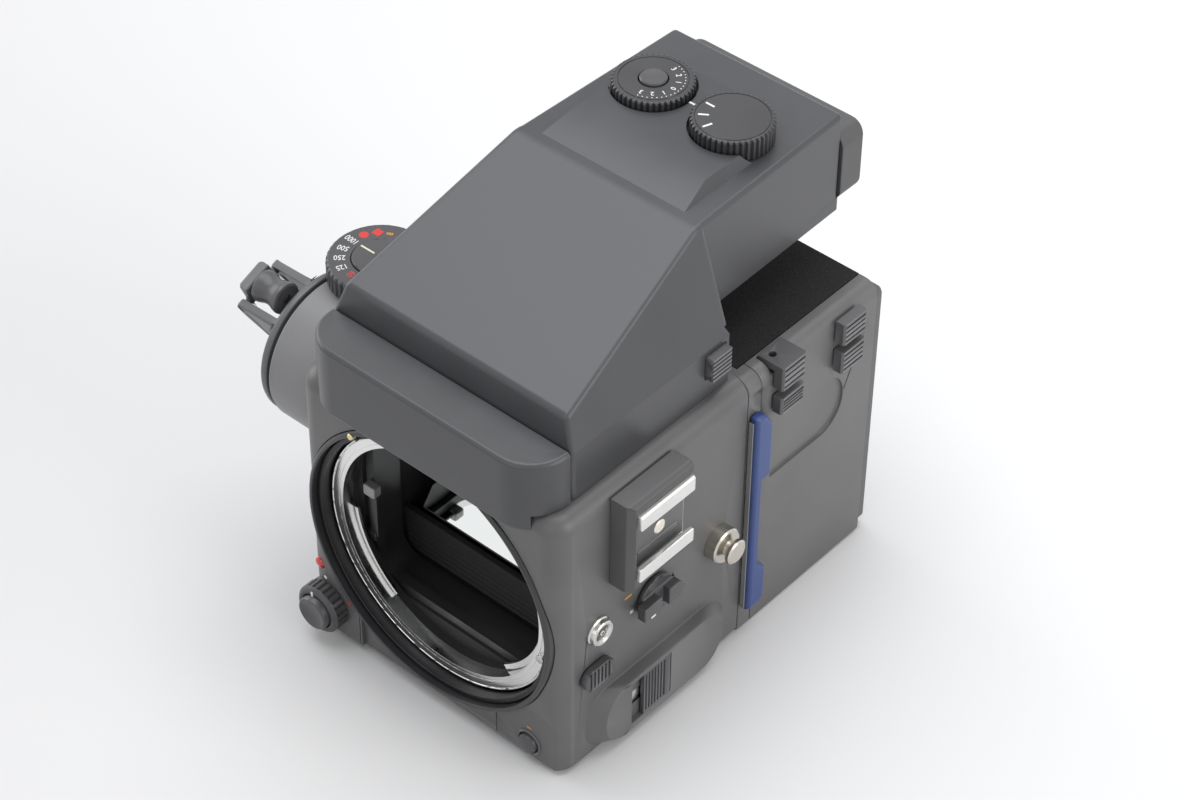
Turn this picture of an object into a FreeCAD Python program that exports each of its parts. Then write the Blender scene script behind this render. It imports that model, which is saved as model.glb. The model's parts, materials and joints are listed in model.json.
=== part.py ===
import FreeCAD, Part
import math
import os
import Sketcher

# Medium format film camera, 6 x 4.5 cm single lens reflex without its lens: a body with mirror
# box and lens mount, an eye-level prism finder and a removable roll film magazine.
# Millimetres. Origin: mouth of the tripod socket, in the plane that the camera stands on.
# X points to the accessory shoe side, Y from the lens mount to the magazine, Z up.

os.makedirs("parts", exist_ok=True)
doc = FreeCAD.newDocument("film_camera")

# Driving dimensions, grouped by the piece that they belong to.
DIMENSIONS = {
    # clearances
    "fit": 0.05, "running_gap": 0.3, "seat_gap": 0.1,
    # body casing
    "body_margin": 2.4, "front_reach": 35.0, "magazine_seam": 0.2, "top_margin": 1.2,
    "base_thickness": 1.5, "casing_wall": 2.6, "front_corner": 6.0, "shoulder_round": 4.5,
    "top_window_margin": 2.0, "top_window_front": 24.5, "top_window_setback": 1.5,
    "band_inset": 17.9, "band_top": 16.7, "facet_top": 24.6, "band_depth": 1.2,
    # optical axis and lens mount
    "base_margin": 4.2, "flange_inset": 4.0, "flange_focal": 64.8, "throat_radius": 32.0,
    "bulkhead_step": 0.6, "mount_width": 4.0, "mount_thickness": 4.0, "mount_land": 2.4,
    "mount_relief": 0.4, "tab_reach": 1.7, "tab_gap": 0.6,
    "surround_wall": 1.4, "surround_proud": 0.8, "coupling_wall": 1.3, "coupling_depth": 2.8, "coupling_rise": 3.0,
    "coupling_notch": 8.0, "coupling_notch_depth": 0.8,
    "lock_pin_radius": 1.2, "lock_pin_step": 2.2, "lock_pin_angle": -15.0, "lock_pin_rise": 1.0,
    # chassis and mirror chamber
    "chassis_front": 27.0, "side_casting": 8.0, "floor_drop": 27.5, "chamber_rise": 30.5,
    "chamber_front": 25.0, "gate_plate": 4.2, "gate_half_width": 28.0, "gate_half_height": 20.75,
    "screen_inset": 2.5, "screen_window_front": 21.5, "screen_setback": 8.0,
    "screen_ledge": 2.0, "screen_lift": 3.0, "screen_thickness": 1.6, "screen_rim": 2.0,
    # mirror
    "hinge_setback": 7.0, "hinge_rise": 19.7, "mirror_angle": 45.0, "mirror_length": 44.5,
    "mirror_inset": 3.2, "mirror_glass_thickness": 1.4, "mirror_back": 1.4, "trunnion_radius": 1.2,
    "baffle_y": 12.0, "baffle_thickness": 1.6, "baffle_height": 13.5, "baffle_rib": 0.6,
    # focal plane shutter
    "drum_radius": 2.7, "drum_setback": 3.2, "drum_rise": 24.4, "drum_axle": 1.0, "curtain_thickness": 0.3,
    # base
    "base_inset": 3.0, "socket_radius": 6.0, "socket_bore": 3.175, "socket_depth": 8.0,
    "socket_thread_depth": 6.0,
    # front hood
    "hood_lap": 0.1, "hood_front": 37.8, "hood_back": 25.8, "hood_lip": 3.4, "hood_rise": 15.5,
    "hood_corner": 11.0,
    # accessory shoe, inside width and lip opening as in the common standard
    "shoe_y": -5.6, "shoe_rise": 25.1, "shoe_inner": 18.6, "shoe_opening": 12.5, "shoe_sheet": 1.2,
    "shoe_lift": 4.3, "shoe_channel": 2.1, "shoe_length": 19.0, "shoe_floor_sheet": 0.7,
    "shoe_block_height": 27.4, "shoe_block_proud": 6.4, "shoe_block_wall": 2.2,
    # small fittings on the shoe side
    "sync_y": -21.5, "sync_drop": 0.7, "sync_radius": 3.9, "sync_tube": 3.2, "sync_proud": 2.2,
    "lug_setback": 9.8, "lug_drop": 3.7, "lug_base": 3.6, "lug_base_radius": 4.8, "lug_neck": 2.2,
    "lug_neck_length": 1.8, "lug_head": 3.4, "lug_head_length": 1.2,
    "left_lug_setback": 7.5,
    "slide_y": -22.4, "slide_z": 29.4, "slide_length": 10.4, "slide_height": 6.4, "slide_travel": 3.5,
    "slide_proud": 2.2, "slide_stem": 2.4,
    "lever_y": -1.6, "lever_drop": 3.5, "lever_disc": 6.0, "lever_length": 15.0, "lever_width": 5.4,
    "lever_proud": 4.4, "lever_shaft": 2.0,
    # battery compartment
    "bulge_front": 27.0, "bulge_setback": 4.5, "bulge_top": 20.2, "bulge_proud": 3.3,
    "bulge_run": 5.6, "bulge_corner": 8.0,
    "cell_radius": 6.5, "cell_length": 25.2, "cell_inset": 4.7, "cell_z": 11.4,
    "door_front": 7.7, "door_back": 2.1, "door_bottom": 4.6, "door_top": 18.4, "door_thickness": 1.2,
    "door_travel": 4.0,
    # shutter release corner
    "release_inset": 6.7, "release_z": 10.0, "collar_radius": 6.8, "collar_height": 4.4,
    "button_radius": 4.7, "button_proud": 1.6, "release_stem": 3.2, "release_travel": 1.5,
    "lamp_inset": 4.1, "lamp_z": 21.6, "lamp_radius": 1.6,
    "check_inset": 10.4, "check_z": 6.2, "check_radius": 2.7, "check_travel": 1.0, "check_proud": 1.4,
    # winding side
    "crank_y": -7.7, "crank_rise": 19.1, "boss_radius": 19.7, "knob_clearance": 0.8, "shelf_step": 3.0,
    "shelf_margin": 0.7, "shelf_drop": 12.6, "crank_disc_radius": 19.3, "crank_disc_thickness": 2.3,
    "crank_shaft": 4.0, "crank_shaft_length": 9.0,
    "crank_hub": 17.5, "crank_groove": 0.8, "crank_angle": 22.8,
    "fin_inner": 5.4, "fin_outer": 7.6, "fin_reach": 13.6, "fin_top": 17.4, "fin_foot": 2.0,
    "hinge_reach": 12.0, "hinge_radial": 14.8, "hinge_pin": 0.9,
    "knob_block_half": 4.4, "knob_block_inner": 11.0, "knob_block_outer": 14.1,
    "knob_block_low": 13.6, "knob_block_high": 19.8,
    "knob_radius": 4.3, "knob_waist": 3.5, "knob_length": 8.4, "knob_radial": 17.1, "knob_near": 2.0,
    "knob_axle": 1.3,
    "dial_clearance": 1.0, "dial_y": 4.1, "dial_radius": 13.2, "dial_height": 5.4, "dial_bore": 6.0,
    "dial_cap_radius": 6.85, "dial_teeth": 44.0, "tooth_depth": 0.6, "dial_collar": 11.6,
    "dial_collar_height": 4.3,
    # prism finder
    "finder_inset": 4.5, "finder_front": 25.5, "finder_setback": 2.5, "seam_rise": 14.5,
    "finder_wall": 2.2, "foot_rise": 8.6, "slope_foot_y": 23.9, "ridge_setback": 2.4,
    "roof_rise": 27.6, "ridge_inset": 9.2, "tunnel_overhang": 2.0, "tunnel_taper": 1.8,
    "tunnel_drop": 1.5, "tunnel_rise": 2.5, "prism_inset": 3.2, "prism_lift": 2.5,
    "prism_gap": 3.5, "prism_step": 2.5, "prism_overhang": 4.5, "prism_front_gap": 3.0,
    "dial_hole": 0.6,
    "eyepiece_depth": 8.8, "eyepiece_lap": 0.6, "eyepiece_low": 0.5, "eyepiece_drop": 6.6,
    "eyepiece_window_half": 13.0, "window_rise": 4.5, "window_drop": 10.1,
    "plate_inset": 6.0, "plate_gap": 3.1, "plate_slope": 9.3, "plate_setback": 26.5, "plate_rise": 2.9,
    "top_dial_spacing": 24.4, "top_dial_setback": 24.5, "top_dial_radius": 10.2, "exposure_height": 4.6,
    "mode_height": 5.6, "top_dial_shaft": 3.0, "lock_button": 3.4, "lock_travel": 0.6,
    "finder_release_setback": 8.3, "finder_release_length": 6.8, "finder_release_rise": 6.0,
    "finder_release_height": 6.8, "finder_release_proud": 2.2, "finder_release_travel": 1.2,
    # magazine
    "magazine_depth": 49.3, "magazine_drop": 0.5, "magazine_wall": 3.2,
    "magazine_round": 4.0, "gate_wall": 1.6, "panel_inset": 5.9, "panel_setback": 2.4,
    "panel_depth": 0.5, "slide_plate": 0.4, "slide_setback": 0.6, "slide_plate_half_height": 23.7,
    "slide_lap": 2.0,
    "handle_proud": 2.5, "handle_bottom": 8.5, "handle_lower_edge": 20.2, "handle_lower_step": 23.7,
    "handle_step_rise": 8.0, "handle_edge_drop": 14.9, "handle_drop": 10.3, "handle_waist_depth": 3.7,
    "handle_wide_depth": 6.8, "handle_corner": 2.0, "slide_pull": 75.0,
    "recess_setback": 10.0, "recess_margin": 11.5, "recess_rise": 3.0, "recess_drop": 19.2,
    "recess_depth": 0.8, "recess_corner": 8.5,
    "latch_proud": 3.2, "latch_travel": 1.0, "latch_stem": 3.0,
    "front_latch_setback": 8.8, "front_latch_length": 8.8, "front_upper_drop": 6.5,
    "front_latch_lift": 0.8, "front_low_drop": 14.0, "front_lower_drop": 8.9,
    "latch_cap_inset": 4.9, "latch_cap_thickness": 2.1, "latch_eye": 1.0,
    "rear_latch_setback": 17.0, "rear_latch_length": 8.8, "rear_middle_drop": 7.5,
    "rear_upper_drop": 0.9, "rear_low_drop": 16.5, "rear_lower_drop": 9.9,
    "cover_thickness": 3.2, "cover_bottom": 2.0, "cover_drop": 3.0, "cover_inset": 0.7,
    "knuckle_radius": 1.7, "knuckle_pin": 0.9, "knuckle_low": 20.0, "knuckle_drop": 23.5,
    "knuckle_length": 12.0,
    # film insert
    "insert_clearance": 2.5, "insert_plate": 1.4, "insert_bottom": 8.0, "insert_drop": 7.5,
    "insert_margin": 7.5, "pressure_plate_thickness": 1.4, "pressure_lap": 2.0,
    "pressure_half_height": 23.0, "spool_setback": 24.8, "spool_spread": 20.5, "spool_flange": 12.5,
    "spool_core": 6.0, "spool_clearance": 2.2, "spool_flange_thickness": 1.4, "spool_pin": 1.5,
}


class Size:
    """A length that carries its value and the spreadsheet expression it stands for."""

    def __init__(self, value, text):
        self.value = float(value)
        self.text = text

    def __add__(self, other):
        other = as_size(other)
        return Size(self.value + other.value, f"({self.text} + {other.text})")

    def __sub__(self, other):
        other = as_size(other)
        return Size(self.value - other.value, f"({self.text} - {other.text})")

    def __radd__(self, other):
        return as_size(other) + self

    def __rsub__(self, other):
        return as_size(other) - self

    def __mul__(self, other):
        other = as_size(other)
        return Size(self.value * other.value, f"({self.text} * {other.text})")

    def __rmul__(self, other):
        return as_size(other) * self

    def __truediv__(self, other):
        other = as_size(other)
        return Size(self.value / other.value, f"({self.text} / {other.text})")

    def __neg__(self):
        return as_size(0) - self


def as_size(number):
    if isinstance(number, Size):
        return number
    return Size(number, f"({float(number):.6g})")


# The spreadsheet: one row for each driving dimension.
sheet = doc.addObject("Spreadsheet::Sheet", "Sizes")
for row, (name, number) in enumerate(DIMENSIONS.items(), start=1):
    sheet.set(f"A{row}", name)
    sheet.set(f"B{row}", str(number))
    sheet.setAlias(f"B{row}", name)
doc.recompute()


def get(name):
    return Size(DIMENSIONS[name], f"Sizes.{name}")


def bind(owner, path, length):
    owner.setExpression(path, as_size(length).text)


def along(length, angle_name, function):
    """Give a length times the sine or cosine of a named angle in degrees."""
    length = as_size(length)
    turned = getattr(math, function)(math.radians(DIMENSIONS[angle_name]))
    return Size(length.value * turned, f"({length.text} * {function}(Sizes.{angle_name} * 1 deg))")


class Outline:
    """A sketch whose corners, radii and centres are held by the spreadsheet."""

    def __init__(self, body, plane, level):
        self.plane = plane
        self.sketch = body.newObject("Sketcher::SketchObject", f"{body.Name}_outline")
        role = f"{plane}_Plane"
        support = [item for item in body.Origin.OriginFeatures if item.Role == role][0]
        self.sketch.AttachmentSupport = [(support, "")]
        self.sketch.MapMode = "FlatFace"
        lift = -as_size(level) if plane == "XZ" else as_size(level)
        bind(self.sketch, "AttachmentOffset.Base.z", lift)

    def hold(self, kind, element, point, length):
        length = as_size(length)
        if kind == "Radius":
            rule = Sketcher.Constraint("Radius", element, length.value)
        else:
            rule = Sketcher.Constraint(kind, -1, 1, element, point, length.value)
        index = self.sketch.addConstraint(rule)
        self.sketch.setExpression(f"Constraints[{index}]", length.text)

    def circle(self, x, y, radius):
        x, y, radius = as_size(x), as_size(y), as_size(radius)
        centre = FreeCAD.Vector(x.value, y.value, 0)
        shape = Part.Circle(centre, FreeCAD.Vector(0, 0, 1), radius.value)
        element = self.sketch.addGeometry(shape, False)
        self.hold("DistanceX", element, 3, x)
        self.hold("DistanceY", element, 3, y)
        self.hold("Radius", element, 3, radius)
        return self

    def loop(self, corners, arcs=None):
        """Close a loop through the corners; arcs maps a side's number to its radius.

        A positive radius bows the side to the right of the direction of travel.
        """
        arcs = arcs or {}
        corners = [(as_size(x), as_size(y)) for x, y in corners]
        ends = []
        for number, (start, stop) in enumerate(zip(corners, corners[1:] + corners[:1])):
            first = FreeCAD.Vector(start[0].value, start[1].value, 0)
            last = FreeCAD.Vector(stop[0].value, stop[1].value, 0)
            if number not in arcs:
                element = self.sketch.addGeometry(Part.LineSegment(first, last), False)
                ends.append((element, 1, 2))
                continue
            radius = as_size(arcs[number])
            turn = 1 if radius.value > 0 else -1
            reach = abs(radius.value)
            chord = last - first
            half = chord.Length / 2
            side = FreeCAD.Vector(-chord.y, chord.x, 0) * (turn / chord.Length)
            centre = (first + last) / 2 + side * math.sqrt(max(reach * reach - half * half, 0))
            ring = Part.Circle(centre, FreeCAD.Vector(0, 0, 1), reach)
            low = math.atan2(first.y - centre.y, first.x - centre.x)
            high = math.atan2(last.y - centre.y, last.x - centre.x)
            if turn < 0:
                low, high = high, low
            if high < low:
                high += 2 * math.pi
            element = self.sketch.addGeometry(Part.ArcOfCircle(ring, low, high), False)
            ends.append((element, 1, 2) if turn > 0 else (element, 2, 1))
            self.hold("Radius", element, 3, radius if turn > 0 else -radius)
        for number, (element, start, stop) in enumerate(ends):
            following, head, tail = ends[(number + 1) % len(ends)]
            rule = Sketcher.Constraint("Coincident", element, stop, following, head)
            self.sketch.addConstraint(rule)
            self.hold("DistanceX", element, start, corners[number][0])
            self.hold("DistanceY", element, start, corners[number][1])
        return self

    def rectangle(self, left, right, bottom, top):
        return self.loop([(left, bottom), (right, bottom), (right, top), (left, top)])

    def rounded(self, left, right, bottom, top, radius):
        left, right, bottom, top = as_size(left), as_size(right), as_size(bottom), as_size(top)
        radius = as_size(radius)
        corners = [
            (left + radius, bottom), (right - radius, bottom), (right, bottom + radius),
            (right, top - radius), (right - radius, top), (left + radius, top),
            (left, top - radius), (left, bottom + radius),
        ]
        return self.loop(corners, {1: radius, 3: radius, 5: radius, 7: radius})


class Piece:
    """One sub-part as a body of padded, cut and turned sketches."""

    def __init__(self, name, x=0, y=0, z=0):
        self.body = doc.addObject("PartDesign::Body", name)
        self.body.Label = name
        for axis, length in zip("xyz", (x, y, z)):
            bind(self.body, f"Placement.Base.{axis}", length)
        self.tip = None
        pieces.append(self.body)

    def on(self, plane, level=0):
        return Outline(self.body, plane, level)

    def settle(self, feature, grows):
        before = self.tip.Shape.Volume if self.tip else 0
        doc.recompute()
        after = feature.Shape.Volume
        changed = after > before + 1e-6 if grows else after < before - 1e-6
        if not changed:
            raise RuntimeError(f"{feature.Name} changed nothing")
        self.tip = feature
        return feature

    def pad(self, outline, length):
        feature = self.body.newObject("PartDesign::Pad", f"{self.body.Name}_pad")
        feature.Profile = outline.sketch
        feature.Reversed = outline.plane == "XZ"
        bind(feature, "Length", length)
        outline.sketch.Visibility = False
        return self.settle(feature, True)

    def cut(self, outline, length):
        feature = self.body.newObject("PartDesign::Pocket", f"{self.body.Name}_cut")
        feature.Profile = outline.sketch
        feature.Reversed = outline.plane != "XZ"
        bind(feature, "Length", length)
        outline.sketch.Visibility = False
        return self.settle(feature, False)

    def turn(self, outline, grows=True):
        kind = "PartDesign::Revolution" if grows else "PartDesign::Groove"
        feature = self.body.newObject(kind, f"{self.body.Name}_turn")
        feature.Profile = outline.sketch
        feature.ReferenceAxis = (outline.sketch, ["V_Axis"])
        feature.Angle = 360
        return self.settle(feature, grows)

    def loft(self, first, second):
        feature = self.body.newObject("PartDesign::AdditiveLoft", f"{self.body.Name}_loft")
        feature.Profile = first.sketch
        feature.Sections = [second.sketch]
        feature.Ruled = True
        return self.settle(feature, True)

    def dress(self, kind, length, chosen):
        names = [f"Edge{n}" for n, edge in enumerate(self.tip.Shape.Edges, start=1) if chosen(edge)]
        if not names:
            raise RuntimeError(f"{self.body.Name} has no such edge")
        feature = self.body.newObject(f"PartDesign::{kind}", f"{self.body.Name}_{kind.lower()}")
        feature.Base = (self.tip, names)
        bind(feature, "Radius" if kind == "Fillet" else "Size", length)
        doc.recompute()
        self.tip = feature
        return feature

    def fillet(self, length, chosen):
        return self.dress("Fillet", length, chosen)

    def chamfer(self, length, chosen):
        return self.dress("Chamfer", length, chosen)

    def ring(self, feature, axis, count):
        role = f"{axis}_Axis"
        line = [item for item in self.body.Origin.OriginFeatures if item.Role == role][0]
        pattern = self.body.newObject("PartDesign::PolarPattern", f"{self.body.Name}_ring")
        pattern.Originals = [feature]
        pattern.Axis = (line, [""])
        pattern.Angle = 360
        bind(pattern, "Occurrences", count)
        self.body.Tip = pattern
        doc.recompute()
        self.tip = pattern
        return pattern

    def row(self, feature, axis, span, count):
        role = f"{axis}_Axis"
        line = [item for item in self.body.Origin.OriginFeatures if item.Role == role][0]
        pattern = self.body.newObject("PartDesign::LinearPattern", f"{self.body.Name}_row")
        pattern.Originals = [feature]
        pattern.Direction = (line, [""])
        bind(pattern, "Length", span)
        pattern.Occurrences = count
        self.body.Tip = pattern
        doc.recompute()
        self.tip = pattern
        return pattern


pieces = []
NEAR = 0.02


def straight(edge, axis):
    """Tell whether an edge is a straight line along X, Y or Z."""
    if edge.Curve.TypeId != "Part::GeomLine":
        return False
    direction = edge.Curve.Direction
    return abs(getattr(direction, axis)) > 0.999


def lies(edge, **places):
    """Tell whether an edge's middle has the given coordinates."""
    middle = edge.CenterOfMass
    return all(abs(getattr(middle, axis) - as_size(place).value) < NEAR
               for axis, place in places.items())


def either(edge, axis, place):
    """Tell whether an edge's middle lies at plus or minus a place."""
    return abs(abs(getattr(edge.CenterOfMass, axis)) - as_size(place).value) < NEAR


def round_edge(edge, axis, place, radius):
    """Tell whether an edge is a circle of one radius at one level."""
    if edge.Curve.TypeId != "Part::GeomCircle":
        return False
    level = abs(getattr(edge.Curve.Center, axis) - as_size(place).value) < NEAR
    return level and abs(edge.Curve.Radius - as_size(radius).value) < NEAR


# Sizes that several pieces share, each measured from the piece that it keeps its distance to.
fit = get("fit")
gap = get("running_gap")
seat = get("seat_gap")
throat = get("throat_radius")
mount_radius = throat + get("mount_width")
coupling_inner = mount_radius + gap
coupling_outer = coupling_inner + get("coupling_wall")
surround_bore = coupling_outer + gap
surround_radius = surround_bore + get("surround_wall")
half = surround_radius + get("body_margin")
wall = get("casing_wall")
front = -get("front_reach")
bottom = get("base_thickness")
axis_z = surround_radius + get("base_margin")
flange = front + get("flange_inset")
mount_back = flange + get("mount_thickness")
side_x = half
film_y = flange + get("flange_focal")
mag_front = film_y - get("gate_wall")
back = mag_front - get("magazine_seam")
mag_back = mag_front + get("magazine_depth")
slide_y = mag_front + get("slide_setback")
chamber_back = back - gap - get("gate_plate")
finder_back = back - get("finder_setback")
left_lug_y = back - get("left_lug_setback")
lug_y = back - get("lug_setback")
bulge_back = back - get("bulge_setback")
shelf_back = get("dial_y") + get("dial_radius") + get("shelf_margin")
finder_half = half - get("finder_inset")
chamber_half = half - wall - seat - get("side_casting")
insert_half = half - get("magazine_wall") - get("insert_clearance")
shoe_floor = half + get("shoe_lift")
cell_x = half - get("cell_inset")
panel_half = half - get("panel_inset")
slide_half = get("gate_half_width") + get("slide_lap")
pressure_half = get("gate_half_width") + get("pressure_lap")
latch_cap_x = half - get("latch_cap_inset")
cover_side = half - get("cover_inset")
check_x = half - get("check_inset")
band_left = half - get("band_inset")
top = axis_z + surround_radius + get("top_margin")
floor = axis_z - get("floor_drop")
chamber_top = axis_z + get("chamber_rise")
mirror_hinge_z = axis_z + get("hinge_rise")
handle_upper_step = axis_z + get("handle_step_rise")
recess_low = axis_z + get("recess_rise")
shoe_z = axis_z + get("shoe_rise")
lug_z = axis_z - get("lug_drop")
sync_z = axis_z - get("sync_drop")
lever_z = axis_z - get("lever_drop")
crank_z = axis_z + get("crank_rise")
mirror_hinge_y = chamber_back - get("hinge_setback")
drum_y = chamber_back - get("drum_setback")
screen_back = chamber_back - get("screen_setback")
top_window_back = chamber_back - get("top_window_setback")
ridge_y = finder_back - get("ridge_setback")
tunnel_end = mag_back + get("tunnel_overhang")
finder_release_y = finder_back - get("finder_release_setback")
front_latch_y = mag_front + get("front_latch_setback")
rear_latch_y = mag_back - get("rear_latch_setback")
recess_front = mag_front + get("recess_setback")
recess_back = mag_back - get("recess_margin")
panel_front = mag_front + get("panel_setback")
waist = mag_front + get("handle_waist_depth")
wide = mag_front + get("handle_wide_depth")
spool_y = mag_front + get("spool_setback")
insert_back = mag_back - get("insert_margin")
hood_half = finder_half + get("hood_lap")
screen_half = chamber_half - get("screen_inset")
mirror_half = chamber_half - get("mirror_inset")
window_half = chamber_half + get("top_window_margin")
ridge_half = finder_half - get("ridge_inset")
spool_half = insert_half - get("insert_plate") - get("spool_clearance")
screen_seat = chamber_top + get("screen_lift")
baffle_top = floor + get("baffle_height")
hood_bottom = axis_z + surround_radius - get("hood_lip")
hood_top = top + get("hood_rise")
seam = top + get("seam_rise")
finder_release_z = top + get("finder_release_rise")
mag_top = top - get("magazine_drop")
shelf_bottom = crank_z - get("shelf_drop")
plate_front = ridge_y + get("plate_gap")
top_dial_y = tunnel_end - get("top_dial_setback")
plate_back = tunnel_end - get("plate_setback")
tunnel_back_half = ridge_half - get("tunnel_taper")
prism_half = ridge_half - get("prism_inset")
plate_half = ridge_half - get("plate_inset")
slope_foot = seam + get("foot_rise")
roof = seam + get("roof_rise")
tunnel_bottom = seam - get("tunnel_drop")
tunnel_seam = seam + get("tunnel_rise")
eyepiece_bottom = seam + get("eyepiece_low")
window_low = seam + get("window_rise")
front_upper_top = mag_top + get("front_latch_lift")
front_upper_bottom = mag_top - get("front_upper_drop")
front_lower_top = mag_top - get("front_lower_drop")
front_lower_bottom = mag_top - get("front_low_drop")
rear_upper_top = mag_top - get("rear_upper_drop")
rear_upper_bottom = mag_top - get("rear_middle_drop")
rear_lower_top = mag_top - get("rear_lower_drop")
rear_lower_bottom = mag_top - get("rear_low_drop")
cover_top = mag_top - get("cover_drop")
knuckle_high = mag_top - get("knuckle_drop")
handle_top = mag_top - get("handle_drop")
handle_upper_edge = mag_top - get("handle_edge_drop")
recess_high = mag_top - get("recess_drop")
insert_top = mag_top - get("insert_drop")
plate_ramp = plate_front + get("plate_slope")
eyepiece_half = tunnel_back_half + get("eyepiece_lap")
eyepiece_top = roof - get("eyepiece_drop")
window_high = roof - get("window_drop")
chassis_front = -get("chassis_front")
release_x = get("release_inset") - half
lamp_x = get("lamp_inset") - half
dial_x = -finder_half - get("dial_clearance") - get("dial_radius")
boss_reach = (get("dial_radius") - dial_x + get("knob_clearance") - get("knob_near")
              - get("crank_disc_thickness") - get("crank_groove") - gap - half)
boss_shelf = boss_reach - get("shelf_step")


# Body casing: one moulded shell round the chassis, open below and behind.
casing = Piece("body_casing")
casing.pad(casing.on("XY", bottom).rectangle(-half, half, front, back), top - bottom)
casing.fillet(get("front_corner"), lambda e: straight(e, "z") and lies(e, y=front))
casing.fillet(get("shoulder_round"), lambda e: straight(e, "y") and either(e, "x", half)
              and e.CenterOfMass.z > axis_z.value)
bulge_level = half - wall / 2
bulge_low = casing.on("YZ", bulge_level).rounded(
    -get("bulge_front"), bulge_back, bottom, get("bulge_top"), get("bulge_corner"))
bulge_high = casing.on("YZ", half + get("bulge_proud")).rounded(
    get("bulge_run") - get("bulge_front"), bulge_back - get("bulge_run"), bottom + 1.0,
    get("bulge_top") - 0.6, get("bulge_corner"))
casing.loft(bulge_low, bulge_high)
casing.cut(casing.on("XY", bottom).rectangle(wall - half, half - wall, front + wall, back),
           top - wall - bottom)
casing.cut(casing.on("XY", top - wall).rectangle(
    -window_half, window_half, -get("top_window_front"), top_window_back), wall)
casing.cut(casing.on("XZ", front).circle(0, axis_z, surround_radius + seat),
           chassis_front - front)
band_face = front + get("band_depth")
casing.cut(casing.on("YZ", -band_left).loop([
    (front - 1, bottom - 1), (band_face, bottom - 1), (band_face, get("band_top")),
    (front, get("facet_top")), (front - 1, get("facet_top"))]), band_left + half + 1)
casing.cut(casing.on("XZ", front).circle(release_x, get("release_z"),
                                         get("release_stem") + gap), wall)
casing.cut(casing.on("XZ", front).circle(lamp_x, get("lamp_z"), get("lamp_radius") + seat), wall)
casing.cut(casing.on("XZ", front).circle(check_x, get("check_z"), get("check_radius") + gap), wall)
side_in = half - wall
casing.cut(casing.on("YZ", side_in).circle(get("sync_y"), sync_z, get("sync_tube") + seat), wall)
casing.cut(casing.on("YZ", side_in).circle(lug_y, lug_z, get("lug_neck") + fit), wall)
casing.cut(casing.on("YZ", side_in).circle(get("lever_y"), lever_z, get("lever_shaft") + fit), wall)
stem = get("slide_stem")
casing.cut(casing.on("YZ", side_in).rectangle(
    get("slide_y") - stem / 2 - gap, get("slide_y") + stem / 2 + get("slide_travel") + gap,
    get("slide_z") - stem / 2 - gap, get("slide_z") + stem / 2 + gap), wall)
cell_room = get("cell_radius") + gap
cell_span = get("cell_length") + 2 * gap
casing.cut(casing.on("XZ", -cell_span / 2).circle(cell_x, get("cell_z"), cell_room), cell_span)
bulge_face = half + get("bulge_proud")
casing.cut(casing.on("YZ", bulge_face - get("door_thickness") - gap).rectangle(
    -get("door_front") - get("door_travel") - gap, get("door_back") + gap,
    get("door_bottom") - fit, get("door_top") + fit), get("door_thickness") + gap)
casing.cut(casing.on("YZ", -half).circle(left_lug_y, lug_z, get("lug_neck") + fit), wall)

dial_seat = crank_z + get("boss_radius")
casing.cut(casing.on("XY", dial_seat).circle(dial_x, get("dial_y"), get("dial_radius") + gap),
           top - dial_seat)

# Chassis: a screwed box of five castings round the mirror, and the bulkhead that carries the mount.
chassis_half = half - wall - seat
chassis_low = bottom + seat
chassis_top = top - wall - seat
chassis_back = back - gap
chamber_front = -get("chamber_front")
gate_half = get("gate_half_width")
gate_low = axis_z - get("gate_half_height")
gate_high = axis_z + get("gate_half_height")
screen_front = -get("screen_window_front")
ledge = get("screen_ledge")
drum_low = axis_z - get("drum_rise")
drum_high = axis_z + get("drum_rise")
pivot_span = 2 * chamber_half + 5
lock_angle = math.radians(DIMENSIONS["lock_pin_angle"])
lock_x = (throat + get("lock_pin_step")) * math.cos(lock_angle)
lock_z = axis_z + (throat + get("lock_pin_step")) * math.sin(lock_angle)

bulkhead = Piece("mount_bulkhead")
bulkhead.pad(bulkhead.on("XZ", chassis_front).rectangle(
    -chassis_half, chassis_half, chassis_low, chassis_top), chamber_front - chassis_front)
bulkhead.cut(bulkhead.on("XZ", chassis_front).circle(0, axis_z, throat + get("bulkhead_step")),
             chamber_front - chassis_front)
bulkhead.cut(bulkhead.on("XZ", chassis_front).circle(lock_x, lock_z, get("lock_pin_radius") + fit),
             chamber_front - chassis_front)


def casting(name, left, right, near, far, low, high):
    """Pad one plate of the chassis and leave its export to the chassis."""
    plate = Piece(name)
    plate.pad(plate.on("XY", low).rectangle(left, right, near, far), as_size(high) - low)
    pieces.remove(plate.body)
    return plate


floor_plate = casting("chassis_floor", -chamber_half, chamber_half, chamber_front, chassis_back,
                      chassis_low, floor)
floor_plate.cut(floor_plate.on("XY", chassis_low).circle(0, 0, get("socket_radius") + fit),
                get("socket_depth") + fit - chassis_low)
top_frame = casting("chassis_top_frame", -chamber_half, chamber_half, chamber_front, chassis_back,
                    chamber_top, chassis_top)
top_frame.cut(top_frame.on("XY", chamber_top).rectangle(
    -screen_half, screen_half, screen_front, screen_back), chassis_top - chamber_top)
top_frame.cut(top_frame.on("XY", screen_seat).rectangle(
    -screen_half - ledge, screen_half + ledge, screen_front - ledge, screen_back + ledge),
    chassis_top - screen_seat)
gate_plate = casting("chassis_gate", -chamber_half, chamber_half, chamber_back, chassis_back,
                     floor, chamber_top)
gate_plate.cut(gate_plate.on("XZ", chamber_back).rectangle(-gate_half, gate_half, gate_low, gate_high),
               chassis_back - chamber_back)
left_side = casting("chassis_left", -chassis_half, -chamber_half, chamber_front, chassis_back,
                    chassis_low, chassis_top)
right_side = casting("chassis_right", chamber_half, chassis_half, chamber_front, chassis_back,
                     chassis_low, chassis_top)
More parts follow.
